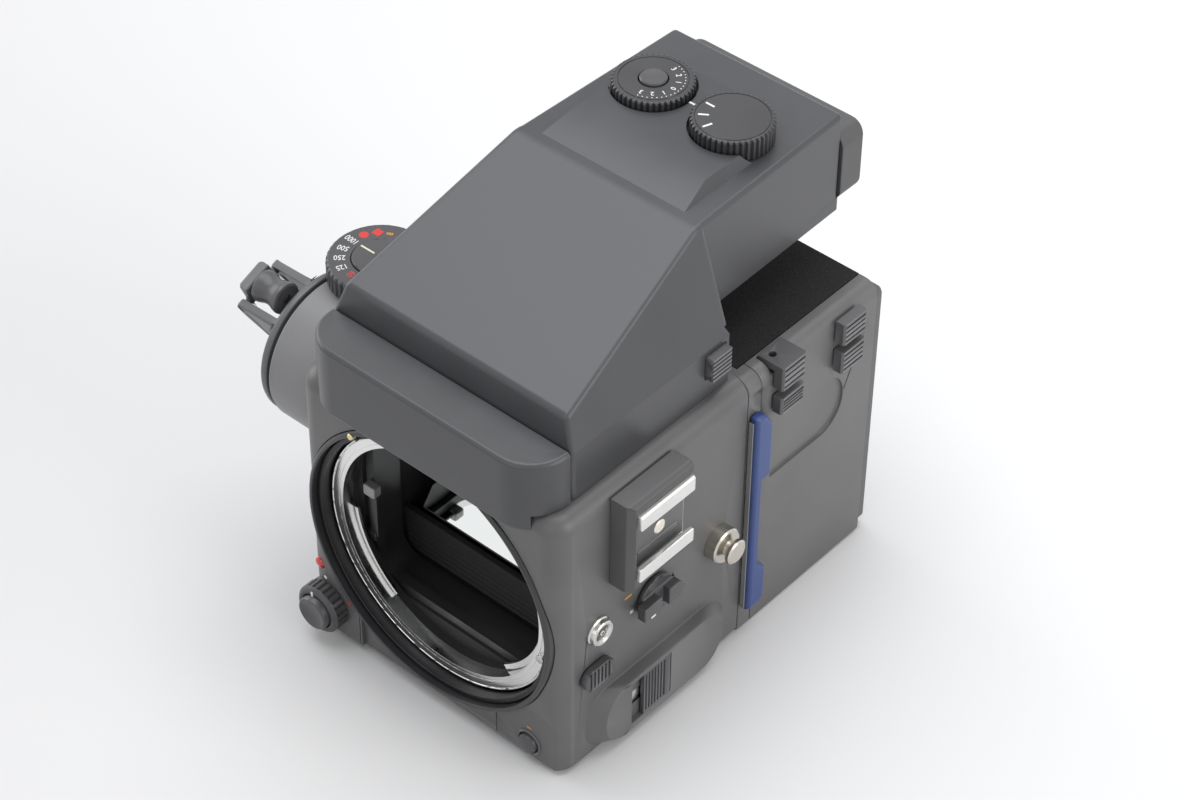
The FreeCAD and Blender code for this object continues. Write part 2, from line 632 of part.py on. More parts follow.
for side in (left_side, right_side):
    for y, z, radius in ((mirror_hinge_y, mirror_hinge_z, get("trunnion_radius")),
                         (drum_y, drum_low, get("drum_axle")),
                         (drum_y, drum_high, get("drum_axle"))):
        side.cut(side.on("YZ", -pivot_span / 2).circle(y, z, radius + fit), pivot_span)
for plate in (floor_plate, right_side):
    plate.cut(plate.on("XZ", -cell_span / 2).circle(cell_x, get("cell_z"), cell_room), cell_span)
chassis = doc.addObject("Part::Compound", "chassis")
chassis.Label = "chassis"
chassis.Links = [part.body for part in (floor_plate, top_frame, gate_plate, left_side, right_side)]
pieces.append(chassis)

# Base plate with the tripod socket.
inset = get("base_inset")
base = Piece("base_plate")
base.pad(base.on("XY").rounded(inset - half, half - inset, front + inset, back - inset, inset), bottom)
base.cut(base.on("XY").circle(0, 0, get("socket_radius") + fit), bottom)

socket = Piece("tripod_socket")
socket.pad(socket.on("XY").circle(0, 0, get("socket_radius")), get("socket_depth"))
socket.cut(socket.on("XY").circle(0, 0, get("socket_bore")), get("socket_thread_depth"))

# Front hood: the rounded name plate block above the mount, left blank.
hood = Piece("front_hood")
hood_front = -get("hood_front")
hood_back = -get("hood_back")
hood.pad(hood.on("XY", hood_bottom).rectangle(-hood_half, hood_half, hood_front, hood_back),
         hood_top - hood_bottom)
hood.fillet(get("hood_corner"), lambda e: straight(e, "z") and lies(e, y=hood_front))
hood.cut(hood.on("XY", hood_bottom).rectangle(-hood_half - 1, hood_half + 1, front, hood_back + 1),
         top - hood_bottom)
hood.chamfer(0.8, lambda e: abs(e.CenterOfMass.z - hood_top.value) < NEAR
             and e.CenterOfMass.y < hood_back.value - 1)
hood.chamfer(0.6, lambda e: straight(e, "x") and lies(e, y=hood_front, z=hood_bottom))
surround_front = front - get("surround_proud")
hood.cut(hood.on("XZ", surround_front - seat).circle(0, axis_z, surround_radius + seat),
         get("surround_proud") + seat)

# Lens mount: fixed black surround, chrome bayonet ring and the turning coupling ring.
surround = Piece("mount_surround", 0, 0, axis_z)
surround.pad(surround.on("XZ", surround_front).circle(0, 0, surround_radius)
             .circle(0, 0, surround_bore), chassis_front - surround_front)
surround.chamfer(0.6, lambda e: round_edge(e, "y", surround_front, surround_radius))

mount = Piece("lens_mount_ring", 0, 0, axis_z)
mount.pad(mount.on("XZ", flange).circle(0, 0, mount_radius)
          .circle(0, 0, throat), get("mount_thickness"))
relief = throat + get("mount_relief")
mount.cut(mount.on("XZ", flange + get("mount_land")).circle(0, 0, relief),
          get("mount_thickness") - get("mount_land"))
tab_front = get("mount_land") + get("tab_gap")
tab_outer = relief + seat
tab_inner = throat - get("tab_reach")
tab_cos = math.cos(math.radians(24))
tab_sin = math.sin(math.radians(24))
tab = mount.pad(mount.on("XZ", flange + tab_front).loop([
    (-tab_outer * tab_sin, tab_outer * tab_cos), (-tab_inner * tab_sin, tab_inner * tab_cos),
    (tab_inner * tab_sin, tab_inner * tab_cos), (tab_outer * tab_sin, tab_outer * tab_cos)],
    {1: -tab_inner, 3: tab_outer}), get("mount_thickness") - tab_front - gap)
mount.ring(tab, "Y", 3)
mount.cut(mount.on("XZ", flange).circle(lock_x, lock_z - axis_z, get("lock_pin_radius") + fit),
          get("mount_thickness"))
mount.chamfer(0.3, lambda e: round_edge(e, "y", flange, mount_radius))

coupling = Piece("coupling_ring", 0, 0, axis_z)
coupling_front = flange - get("coupling_rise")
coupling.pad(coupling.on("XZ", coupling_front).circle(0, 0, coupling_outer)
             .circle(0, 0, coupling_inner), get("coupling_depth") + 3.2)
notch_half = get("coupling_notch")
coupling.cut(coupling.on("XZ", coupling_front).rectangle(
    -notch_half, notch_half, coupling_inner - 2, coupling_outer + 1),
    get("coupling_notch_depth"))
coupling.pad(coupling.on("XZ", coupling_front - 0.6).circle(
    -coupling_inner * 0.62, coupling_inner * 0.80, 0.6), 1.2)

lock_pin = Piece("lens_lock_pin", lock_x, flange, lock_z)
lock_pin.pad(lock_pin.on("XZ", -get("lock_pin_rise")).circle(0, 0, get("lock_pin_radius")),
             get("lock_pin_rise") + get("mount_thickness"))

# Mirror: glass on a pressed frame that swings on two trunnions behind the throat.
mirror_frame = Piece("mirror_frame", 0, mirror_hinge_y, mirror_hinge_z)
mirror_frame.body.Placement = FreeCAD.Placement(
    mirror_frame.body.Placement.Base, FreeCAD.Rotation(FreeCAD.Vector(1, 0, 0), 45))
bind(mirror_frame.body, "Placement.Rotation.Angle", get("mirror_angle"))
mirror_frame.pad(mirror_frame.on("XY", -get("mirror_back")).loop([
    (-mirror_half - 0.8, 0), (3 - mirror_half, -get("mirror_length")),
    (mirror_half - 3, -get("mirror_length")), (mirror_half + 0.8, 0)]), get("mirror_back"))
mirror_frame.pad(mirror_frame.on("YZ", 0.6 - chamber_half).circle(0, 0, get("trunnion_radius") + 0.6),
                 2 * chamber_half - 1.2)
mirror_frame.pad(mirror_frame.on("YZ", -pivot_span / 2 + gap).circle(0, 0, get("trunnion_radius")),
                 pivot_span - 2 * gap)

mirror_glass = Piece("mirror_glass", 0, mirror_hinge_y, mirror_hinge_z)
mirror_glass.body.Placement = FreeCAD.Placement(
    mirror_glass.body.Placement.Base, FreeCAD.Rotation(FreeCAD.Vector(1, 0, 0), 45))
bind(mirror_glass.body, "Placement.Rotation.Angle", get("mirror_angle"))
mirror_glass.pad(mirror_glass.on("XY").loop([
    (-mirror_half, -2.6), (3.8 - mirror_half, 0.6 - get("mirror_length")),
    (mirror_half - 3.8, 0.6 - get("mirror_length")), (mirror_half, -2.6)]),
    get("mirror_glass_thickness"))

# Light baffle: ribbed wall between the chamber floor and the mirror's lower edge.
baffle = Piece("light_baffle", 0, -get("baffle_y"), floor)
baffle_high = baffle_top - floor
baffle.pad(baffle.on("XY").rectangle(seat - chamber_half, chamber_half - seat, 0,
                                     get("baffle_thickness")), baffle_high)
rib = baffle.pad(baffle.on("YZ", 2 - chamber_half).loop([
    (0, 1), (-get("baffle_rib"), 1.5), (0, 2)]), 2 * chamber_half - 4)
baffle.row(rib, "Z", baffle_high - 3, 7)

# Focusing screen on its ledge above the chamber, with a rim that holds it.
screen = Piece("focusing_screen", 0, 0, screen_seat)
screen_edge = ledge - seat
screen.pad(screen.on("XY").rectangle(-screen_half - screen_edge, screen_half + screen_edge,
                                     screen_front - screen_edge, screen_back + screen_edge),
           get("screen_thickness"))

screen_rim = Piece("screen_frame", 0, 0, screen_seat + get("screen_thickness"))
screen_rim.pad(screen_rim.on("XY")
               .rectangle(-screen_half - screen_edge, screen_half + screen_edge,
                          screen_front - screen_edge, screen_back + screen_edge)
               .rectangle(-screen_half, screen_half, screen_front, screen_back), get("screen_rim"))

# Focal plane shutter: the closed curtain across the film gate and its two drums.
curtain = Piece("shutter_curtain", 0, chamber_back - get("curtain_thickness"), 0)
curtain.pad(curtain.on("XZ").rectangle(seat - chamber_half, chamber_half - seat, drum_low + 1,
                                       drum_high - 1), get("curtain_thickness"))
for name, level in (("lower_drum", drum_low), ("upper_drum", drum_high)):
    drum = Piece(name, 0, drum_y, level)
    drum.pad(drum.on("YZ", gap - chamber_half).circle(0, 0, get("drum_radius")),
             2 * (chamber_half - gap))
    drum.pad(drum.on("YZ", gap - pivot_span / 2).circle(0, 0, get("drum_axle")), pivot_span - 2 * gap)

# Accessory shoe: black block on the side wall, and the bright channel that grips the foot.
block = Piece("shoe_block", half, get("shoe_y"), shoe_z)
block_half = get("shoe_block_height") / 2
shoe_start = -get("shoe_length") / 2
block_wall = get("shoe_block_wall")
channel_half = get("shoe_inner") / 2 + get("shoe_sheet")
block_floor = shoe_floor - get("shoe_floor_sheet") - half
block.pad(block.on("YZ").rectangle(shoe_start - block_wall, get("shoe_length") / 2 + 1,
                                   -block_half, block_half), get("shoe_block_proud"))
block.chamfer(1.6, lambda e: straight(e, "z") and lies(e, x=get("shoe_block_proud"),
                                                       y=shoe_start - block_wall))
block.chamfer(1.0, lambda e: straight(e, "y") and abs(e.CenterOfMass.x
              - get("shoe_block_proud").value) < NEAR)
block.cut(block.on("YZ", block_floor).rectangle(shoe_start - seat, get("shoe_length") / 2 + 2,
                                                -channel_half - seat, channel_half + seat),
          get("shoe_block_proud") - block_floor)

rails = Piece("shoe_rails", shoe_floor, get("shoe_y"), shoe_z)
inner = get("shoe_inner") / 2
lip = get("shoe_opening") / 2
channel = get("shoe_channel")
sheet_metal = get("shoe_sheet")
rail_back = get("shoe_length") / 2
rails.pad(rails.on("XZ", shoe_start).loop([
    (-get("shoe_floor_sheet"), -channel_half), (channel + sheet_metal, -channel_half),
    (channel + sheet_metal, -lip), (channel, -lip), (channel, -inner), (0, -inner), (0, inner),
    (channel, inner), (channel, lip), (channel + sheet_metal, lip),
    (channel + sheet_metal, channel_half), (-get("shoe_floor_sheet"), channel_half)]),
    rail_back - shoe_start)
rails.chamfer(0.4, lambda e: straight(e, "y") and either(e, "z", channel_half)
             and e.CenterOfMass.x > channel.value)

contact = Piece("shoe_contact", shoe_floor, get("shoe_y") + 0.5, shoe_z - 1.1)
contact.pad(contact.on("YZ").circle(0, 0, 1.9), 0.35)

# Flash sync socket: threaded collar, insulator and centre pin.
sync = Piece("sync_socket", half, get("sync_y"), sync_z)
sync.pad(sync.on("YZ").circle(0, 0, get("sync_radius")).circle(0, 0, 2.1), get("sync_proud"))
sync.pad(sync.on("YZ", -wall).circle(0, 0, get("sync_tube")).circle(0, 0, 2.1), wall)
sync.chamfer(0.5, lambda e: round_edge(e, "x", get("sync_proud"), get("sync_radius")))
sync.pad(sync.on("YZ", -wall).circle(0, 0, 2.2), wall - 0.6)
sync.pad(sync.on("YZ", -0.7).circle(0, 0, 1.2), 2.2)


# Strap lugs: mushroom studs, one on each side.
def strap_lug(name, x, y, sense):
    lug = Piece(name, x, y, lug_z)
    base_radius, neck, head = get("lug_base_radius"), get("lug_neck"), get("lug_head")
    neck_start = get("lug_base")
    head_start = neck_start + get("lug_neck_length")
    levels = [(as_size(0), neck_start, base_radius), (neck_start, get("lug_neck_length"), neck),
              (head_start, get("lug_head_length"), head), (as_size(-2.4), as_size(2.4), neck)]
    for start, length, radius in levels:
        start = start if sense > 0 else -start - length
        lug.pad(lug.on("YZ", start).circle(0, 0, radius), length)
    lug.chamfer(0.5, lambda e: round_edge(e, "x", sense * neck_start, base_radius))
    lug.chamfer(0.3, lambda e: round_edge(e, "x", sense * (head_start + get("lug_head_length")), head))
    pieces.remove(lug.body)
    return lug.body


lugs = doc.addObject("Part::Compound", "strap_lugs")
lugs.Label = "strap_lugs"
lugs.Links = [strap_lug("right_lug", half, lug_y, 1),
              strap_lug("left_lug", -half, left_lug_y, -1)]
pieces.append(lugs)

# Lens release: ribbed oval slide on the side wall.
release = Piece("lens_release", half, get("slide_y"), get("slide_z"))
release_long = get("slide_length") / 2
release_high = get("slide_height") / 2
release.pad(release.on("YZ", gap).rounded(-release_long, release_long, -release_high, release_high,
                                          release_high - 0.05), get("slide_proud") - gap)
release.pad(release.on("YZ", -wall).rectangle(-stem / 2, stem / 2, -stem / 2, stem / 2), wall + gap)
groove = release.cut(release.on("YZ", get("slide_proud") - 0.5).rectangle(
    -release_long + 1.6, -release_long + 2.3, -release_high + 0.5, release_high - 0.5), 0.5)
release.row(groove, "Y", get("slide_length") - 4.0, 6)

# Mirror lock-up lever: a bar on a round base that turns on the side wall.
lever = Piece("mirror_lever", half, get("lever_y"), lever_z)
lever.pad(lever.on("YZ", gap).circle(0, 0, get("lever_disc")), 1.4)
lever.pad(lever.on("YZ", -wall).circle(0, 0, get("lever_shaft")), wall + gap)
lever_bar = get("lever_length") / 2
lever_high = get("lever_width") / 2
lever.pad(lever.on("YZ", gap + 1.4).loop([
    (-lever_bar, -lever_high * 0.8), (lever_bar - 2.0, -lever_high), (lever_bar, 0),
    (lever_bar - 2.0, lever_high), (-lever_bar, lever_high * 0.8)]), get("lever_proud") - gap - 1.4)
lever.cut(lever.on("YZ", get("lever_proud") - 2.2).rectangle(-1.3, 1.3, -lever_high - 1,
                                                              lever_high + 1), 2.2)

# Battery and the ribbed sliding door over it.
cell = Piece("battery", cell_x, 0, get("cell_z"))
cell_half = get("cell_length") / 2
cell.pad(cell.on("XZ", -cell_half).circle(0, 0, get("cell_radius")), get("cell_length") - 0.8)
cell.pad(cell.on("XZ", cell_half - 0.8).circle(0, 0, 3.0), 0.8)
door = Piece("battery_door", bulge_face - get("door_thickness"), 0, 0)
door.pad(door.on("YZ").rectangle(-get("door_front"), get("door_back"), get("door_bottom"),
                                 get("door_top")), get("door_thickness"))
door_groove = door.cut(door.on("YZ", get("door_thickness") - 0.4).rectangle(
    -get("door_front") + 0.6, -get("door_front") + 1.2, get("door_bottom") + 0.6,
    get("door_top") - 0.6), 0.4)
door.row(door_groove, "Y", 6.6, 7)

# Shutter release with its turning lock collar, the lamp and the battery check button.
collar = Piece("release_collar", release_x, front, get("release_z"))
collar_low = -get("collar_height") - gap
collar.pad(collar.on("XZ", collar_low).circle(0, 0, get("collar_radius"))
           .circle(0, 0, get("button_radius") + gap), get("collar_height"))
collar.chamfer(0.9, lambda e: round_edge(e, "y", collar_low, get("collar_radius")))
collar_notch = collar.cut(collar.on("XZ", collar_low + 1.2).loop([
    (-0.6, get("collar_radius") + 0.2), (0, get("collar_radius") - 0.5),
    (0.6, get("collar_radius") + 0.2)]), get("collar_height") - 1.2)
collar.ring(collar_notch, "Y", 24)
shutter_button = Piece("release_button", release_x, front, get("release_z"))
button_low = collar_low - get("button_proud")
shutter_button.pad(shutter_button.on("XZ", button_low).circle(0, 0, get("button_radius")),
                   get("button_proud") + get("collar_height") - get("release_travel") - gap)
shutter_button.pad(shutter_button.on("XZ", -get("release_travel") - 2 * gap).circle(
    0, 0, get("release_stem")), wall + get("release_travel") + 2 * gap)
shutter_button.chamfer(0.6, lambda e: round_edge(e, "y", button_low, get("button_radius")))
lamp = Piece("timer_lamp", lamp_x, front, get("lamp_z"))
lamp.pad(lamp.on("XZ", -0.2).circle(0, 0, get("lamp_radius")), wall + 0.2)
lamp.chamfer(0.15, lambda e: round_edge(e, "y", -0.2, get("lamp_radius")))
check = Piece("check_button", check_x, band_face, get("check_z"))
check.pad(check.on("XZ", -get("check_proud")).circle(0, 0, get("check_radius")),
          get("check_proud") + wall - get("band_depth") + get("check_travel"))
check.chamfer(0.4, lambda e: round_edge(e, "y", -get("check_proud"), get("check_radius")))

# Winding side: the gear housing with its round boss and the shelf under the speed dial.
housing = Piece("winder_housing", -half, 0, 0)
crank_y = get("crank_y")
boss = get("boss_radius")
collar_base = dial_seat - get("dial_collar_height")
housing.pad(housing.on("XY", collar_base).circle(dial_x + half, get("dial_y"),
                                                 get("dial_collar")), get("dial_collar_height"))
for left, right in ((-boss_reach - 8, 0.2 - boss_reach), (-0.2, 8)):
    housing.cut(housing.on("XY", collar_base).rectangle(left, right, -30, 30),
                get("dial_collar_height"))
housing.pad(housing.on("YZ", -boss_shelf).loop([
    (crank_y, shelf_bottom), (shelf_back, shelf_bottom),
    (shelf_back, crank_z + boss), (crank_y, crank_z + boss)]), boss_shelf)
housing.fillet(3.0, lambda e: straight(e, "x") and lies(e, y=shelf_back))
housing.fillet(3.0, lambda e: straight(e, "z") and lies(e, x=-boss_shelf, y=shelf_back))
housing.pad(housing.on("YZ", -boss_reach).circle(crank_y, crank_z, boss), boss_reach)
housing.cut(housing.on("YZ", -boss_reach).circle(crank_y, crank_z, get("crank_shaft") + fit),
            get("crank_shaft_length") + gap)
cap_stem = get("dial_bore") - gap
housing.cut(housing.on("XY", dial_seat - 4).circle(dial_x + half, get("dial_y"), 2.5 + fit), 4)

# Shutter speed dial turning round a fixed centre cap.
speed = Piece("speed_dial", dial_x, get("dial_y"), dial_seat + gap)
speed.pad(speed.on("XY").circle(0, 0, get("dial_radius")).circle(0, 0, get("dial_bore")),
          get("dial_height"))
speed.cut(speed.on("XY", get("dial_height") - 0.5).circle(0, 0, get("dial_cap_radius") + gap), 0.5)
speed.chamfer(0.7, lambda e: round_edge(e, "z", get("dial_height"), get("dial_radius")))
tooth = get("tooth_depth")
speed_tooth = speed.cut(speed.on("XY").loop([
    (-tooth, get("dial_radius") + 0.2), (0, get("dial_radius") - tooth),
    (tooth, get("dial_radius") + 0.2)]), get("dial_height"))
speed.ring(speed_tooth, "Z", get("dial_teeth"))
cap = Piece("dial_cap", dial_x, get("dial_y"), dial_seat)
cap.pad(cap.on("XY").circle(0, 0, cap_stem), get("dial_height") + gap)
cap.pad(cap.on("XY", -4 + gap).circle(0, 0, 2.5), 4)
cap.pad(cap.on("XY", get("dial_height") - 0.4 + gap).circle(0, 0, get("dial_cap_radius")), 0.7)

# Film advance crank: a disc with two fins, and the knob block that folds out between their tips.
crank_turn = get("crank_angle")


def crank_piece(name, x, radial):
    """Start a piece at a distance from the crank's axis, turned with the crank."""
    piece = Piece(name, x, crank_y - along(radial, "crank_angle", "sin"),
                  crank_z + along(radial, "crank_angle", "cos"))
    piece.body.Placement = FreeCAD.Placement(
        piece.body.Placement.Base, FreeCAD.Rotation(FreeCAD.Vector(1, 0, 0), crank_turn.value))
    bind(piece.body, "Placement.Rotation.Angle", crank_turn)
    return piece


disc_x = -half - boss_reach - gap - get("crank_groove")
disc = crank_piece("crank_disc", disc_x, 0)
disc_face = -get("crank_disc_thickness")
disc.pad(disc.on("YZ", disc_face).circle(0, 0, get("crank_disc_radius")), get("crank_disc_thickness"))
disc.chamfer(0.6, lambda e: round_edge(e, "x", disc_face, get("crank_disc_radius")))
disc.pad(disc.on("YZ").circle(0, 0, get("crank_hub")), get("crank_groove"))
disc.pad(disc.on("YZ", get("crank_groove")).circle(0, 0, get("crank_shaft")), get("crank_shaft_length"))
fin_inner = get("fin_inner")
fin_sheet = get("fin_outer") - fin_inner
fin_tip = disc_face - get("fin_reach")
hinge_in = disc_face - get("hinge_reach")
hinge_up = get("hinge_radial")
pin = get("hinge_pin")
for fin_side in (fin_inner, -fin_inner - fin_sheet):
    disc.pad(disc.on("XZ", fin_side).loop([
        (disc_face, get("fin_foot")), (disc_face, get("fin_top")), (fin_tip + 0.7, hinge_up + 1.6),
        (fin_tip, hinge_up), (fin_tip + 0.7, hinge_up - 2.2)]), fin_sheet)
disc.cut(disc.on("XZ", -fin_inner - fin_sheet).circle(hinge_in, hinge_up, pin + fit),
         2 * (fin_inner + fin_sheet))

knob_block = crank_piece("knob_block", disc_x + hinge_in, hinge_up)
block_side = get("knob_block_half")
hinge_reach = get("hinge_reach")
knob_axis = get("knob_radial") - hinge_up
knob_block.pad(knob_block.on("XZ", -block_side).rectangle(
    hinge_reach - get("knob_block_outer"), hinge_reach - get("knob_block_inner"),
    get("knob_block_low") - hinge_up, get("knob_block_high") - hinge_up), 2 * block_side)
knob_block.chamfer(0.8, lambda e: straight(e, "z")
                   and lies(e, x=hinge_reach - get("knob_block_outer")))
for pin_side in (block_side - 1, -fin_inner - fin_sheet + 0.2):
    knob_block.pad(knob_block.on("XZ", pin_side).circle(0, 0, pin),
                   fin_inner + fin_sheet - 0.2 - block_side + 1)
knob_block.pad(knob_block.on("YZ", hinge_reach - get("knob_block_inner") - 0.5).circle(
    0, knob_axis, get("knob_axle")), get("knob_block_inner") - get("knob_near") + 0.5)

knob = Piece("crank_knob", disc_x + disc_face - get("knob_near") - get("knob_length"),
             crank_y - along(get("knob_radial"), "crank_angle", "sin"),
             crank_z + along(get("knob_radial"), "crank_angle", "cos"))
knob_long = get("knob_length")
knob_radius = get("knob_radius")
knob.turn(knob.on("YZ").loop([
    (0, 0), (knob_radius, 0), (knob_radius, 1.0), (get("knob_waist"), knob_long * 0.35),
    (get("knob_waist"), knob_long * 0.65), (knob_radius, knob_long - 1), (knob_radius, knob_long),
    (0, knob_long)]))
knob.body.Placement = FreeCAD.Placement(knob.body.Placement.Base,
                                        FreeCAD.Rotation(FreeCAD.Vector(0, 1, 0), 90))
knob.cut(knob.on("XY").circle(0, 0, get("knob_axle") + fit), knob_long)

# Finder base: the frame that sits on the body and the tray of the rear tunnel.
finder_front = -get("finder_front")
finder_wall = get("finder_wall")
tunnel_half = ridge_half - 0.8
finder_base = Piece("finder_base")
finder_base.pad(finder_base.on("XY", top + seat).rectangle(
    -finder_half, finder_half, finder_front, finder_back), seam - top - seat)
finder_base.fillet(1.5, lambda e: straight(e, "z") and lies(e, y=finder_front))
finder_base.pad(finder_base.on("XY", tunnel_bottom).loop([
    (-tunnel_half, finder_back - 1), (tunnel_half, finder_back - 1),
    (tunnel_back_half, tunnel_end), (-tunnel_back_half, tunnel_end)]),
    tunnel_seam - tunnel_bottom)
finder_base.cut(finder_base.on("XY", top + seat).rectangle(
    -chamber_half, chamber_half, finder_front + 3, top_window_back - 2), seam - top - seat)
finder_base.cut(finder_base.on("XY", tunnel_bottom + finder_wall).rectangle(
    -prism_half, prism_half, finder_back - 3.5, tunnel_end - finder_wall),
    tunnel_seam - tunnel_bottom - finder_wall)
finder_base.cut(finder_base.on("XY", seam).rectangle(
    -finder_half, finder_half, finder_front, finder_back + fit), tunnel_seam - seam)
release_room = get("finder_release_travel") + 2.4
finder_base.cut(finder_base.on("YZ", finder_half - release_room).rectangle(
    finder_release_y - gap, finder_release_y + get("finder_release_length") + gap,
    finder_release_z - gap, finder_release_z + get("finder_release_height") + gap),
    release_room)

# Finder shell: sloping roof with leaning sides, running back into the eyepiece tunnel.
shell = Piece("finder_shell")
shell_low = seam + fit
shell_half = ridge_half - 0.6
shell.pad(shell.on("XY", tunnel_seam + fit).loop([
    (-shell_half, finder_back - 3), (shell_half, finder_back - 3),
    (tunnel_back_half, tunnel_end), (-tunnel_back_half, tunnel_end)]),
    roof - tunnel_seam - fit)
shell.fillet(1.8, lambda e: abs(e.CenterOfMass.z - roof.value) < NEAR
             and e.CenterOfMass.y > finder_back.value - 2)
shell.pad(shell.on("YZ", -finder_half).loop([
    (finder_front, shell_low), (-get("slope_foot_y"), slope_foot), (ridge_y, roof),
    (finder_back, roof), (finder_back, shell_low)]), 2 * finder_half)
for sense in (1, -1):
    shell.cut(shell.on("XZ", finder_front - 1).loop([
        (sense * finder_half, shell_low), (sense * (finder_half + 1), shell_low),
        (sense * (finder_half + 1), roof + 1), (sense * (ridge_half - 0.35), roof + 1)]),
        finder_back - finder_front + 2)
cavity_half = prism_half + 0.5
shell.cut(shell.on("YZ", -cavity_half).loop([
    (finder_front + finder_wall, shell_low), (finder_wall - get("slope_foot_y"),
                                              slope_foot - finder_wall),
    (ridge_y, roof - finder_wall), (tunnel_end - finder_wall, roof - finder_wall),
    (tunnel_end - finder_wall, shell_low)]), 2 * cavity_half)
shell.cut(shell.on("XZ", tunnel_end - finder_wall).rectangle(
    -get("eyepiece_window_half"), get("eyepiece_window_half"), window_low,
    window_high), finder_wall)
shaft = get("top_dial_shaft")
exposure_x = -get("top_dial_spacing") / 2
mode_x = get("top_dial_spacing") / 2
for place in (exposure_x, mode_x):
    shell.cut(shell.on("XY", roof - finder_wall).circle(place, top_dial_y, shaft + fit),
              finder_wall)

# Prism, eyepiece block and its lens.
prism = Piece("prism")
prism_low = top + get("prism_lift")
prism_front = get("prism_front_gap") - get("slope_foot_y")
prism_step = top_window_back - get("prism_gap")
prism_back = finder_back + get("prism_overhang")
prism.pad(prism.on("YZ", -prism_half).loop([
    (prism_front, prism_low), (prism_step - get("prism_step"), prism_low),
    (prism_step, seam + 0.5), (prism_back, seam + 5.5), (prism_back, roof - 8),
    (ridge_y - 1, roof - finder_wall - 1.4), (prism_front, slope_foot - finder_wall)]),
    2 * prism_half)

eyepiece = Piece("eyepiece_block", 0, tunnel_end, 0)
window = get("eyepiece_window_half")
eyepiece.pad(eyepiece.on("XZ").rounded(-eyepiece_half, eyepiece_half,
                                       eyepiece_bottom, eyepiece_top, 4.0),
             get("eyepiece_depth"))
eyepiece.cut(eyepiece.on("XZ").rounded(-window, window, window_low, window_high, 2.0),
             get("eyepiece_depth"))
eyepiece.cut(eyepiece.on("XZ", get("eyepiece_depth") - 2.6).rounded(
    -window - 3, window + 3, window_low - 1.6, window_high + 1.6, 3.0), 2.6)
eyepiece.chamfer(1.0, lambda e: abs(e.CenterOfMass.y - get("eyepiece_depth").value) < NEAR
                 and (abs(e.CenterOfMass.x) > window.value + 4
                      or abs(e.CenterOfMass.z - (window_low + window_high).value / 2)
                      > (window_high - window_low).value / 2 + 2))
lens = Piece("eyepiece_lens", 0, tunnel_end, 0)
lens.pad(lens.on("XZ", 1.2).rounded(seat - window, window - seat, window_low + seat,
                                    window_high - seat, 1.9), 3.0)

# Dial plate: the raised wedge on the roof, cut round to clear the two dials.
plate = Piece("dial_plate")
plate.pad(plate.on("YZ", -plate_half).loop([
    (plate_front, roof), (plate_back, roof),
    (plate_back, roof + get("plate_rise")),
    (plate_ramp, roof + get("plate_rise"))]), 2 * plate_half)
for sense in (1, -1):
    plate.cut(plate.on("XZ", plate_front - 1).loop([
        (sense * plate_half, roof), (sense * (plate_half + 1), roof),
        (sense * (plate_half + 1), roof + 4), (sense * (plate_half - 2.4), roof + 4)]),
        plate_back - plate_front + 2)
plate_high = get("plate_rise") + 1
for place in (exposure_x, mode_x):
    plate.cut(plate.on("XY", roof).circle(
        place, top_dial_y, get("top_dial_radius") + get("dial_hole")), plate_high)


# Finder dials: exposure compensation with a lock button, and the mode dial.
def finder_dial(name, x, height):
    dial = Piece(name, x, top_dial_y, roof + gap)
    radius = get("top_dial_radius")
    dial.pad(dial.on("XY").circle(0, 0, radius), height)
    dial.chamfer(0.5, lambda e: round_edge(e, "z", height, radius))
    notch = dial.cut(dial.on("XY").loop([
        (-tooth, radius + 0.2), (0, radius - tooth), (tooth, radius + 0.2)]), height)
    dial.ring(notch, "Z", get("dial_teeth"))
    dial.pad(dial.on("XY", -finder_wall).circle(0, 0, shaft), finder_wall)
    return dial


exposure = finder_dial("exposure_dial", exposure_x, get("exposure_height"))
lock_room = get("lock_travel") + 1.6
exposure.cut(exposure.on("XY", get("exposure_height") - lock_room).circle(
    0, 0, get("lock_button") + gap), lock_room)
finder_dial("mode_dial", mode_x, get("mode_height"))
lock = Piece("exposure_lock", exposure_x, top_dial_y, roof + gap + get("exposure_height"))
lock.pad(lock.on("XY", -1.4).circle(0, 0, get("lock_button")), 2.0)
lock.chamfer(0.3, lambda e: round_edge(e, "z", 0.6, get("lock_button")))

# Finder release: the ribbed button in the side of the finder base.
finder_release = Piece("finder_release", finder_half, finder_release_y, finder_release_z)
finder_release.pad(finder_release.on("YZ", -2.0).rectangle(
    0, get("finder_release_length"), 0, get("finder_release_height")),
    get("finder_release_proud") + 2.0)
rib_cut = finder_release.cut(finder_release.on("YZ", get("finder_release_proud") - 0.5).rectangle(
    0, get("finder_release_length"), 0.7, 1.2), 0.5)
finder_release.row(rib_cut, "Z", get("finder_release_height") - 1.9, 5)

# Magazine shell: open at the back for the film insert, with the gate and the slide slot in front.
magazine = Piece("magazine_shell")
mag_wall = get("magazine_wall")
magazine.pad(magazine.on("XY").rectangle(-half, half, mag_front, mag_back), mag_top)
magazine.fillet(get("magazine_round"), lambda e: straight(e, "y") and either(e, "x", half)
                and e.CenterOfMass.z > axis_z.value)
magazine.fillet(1.0, lambda e: straight(e, "y") and either(e, "x", half)
                and e.CenterOfMass.z < axis_z.value)
magazine.cut(magazine.on("XZ", mag_front + get("gate_wall")).rectangle(
    mag_wall - half, half - mag_wall, mag_wall, mag_top - mag_wall),
    mag_back - mag_front - get("gate_wall"))
magazine.cut(magazine.on("XZ", mag_front).rectangle(-gate_half, gate_half, gate_low, gate_high),
             get("gate_wall"))
slide_low = axis_z - get("slide_plate_half_height")
slide_high = axis_z + get("slide_plate_half_height")
slide_left = -slide_half
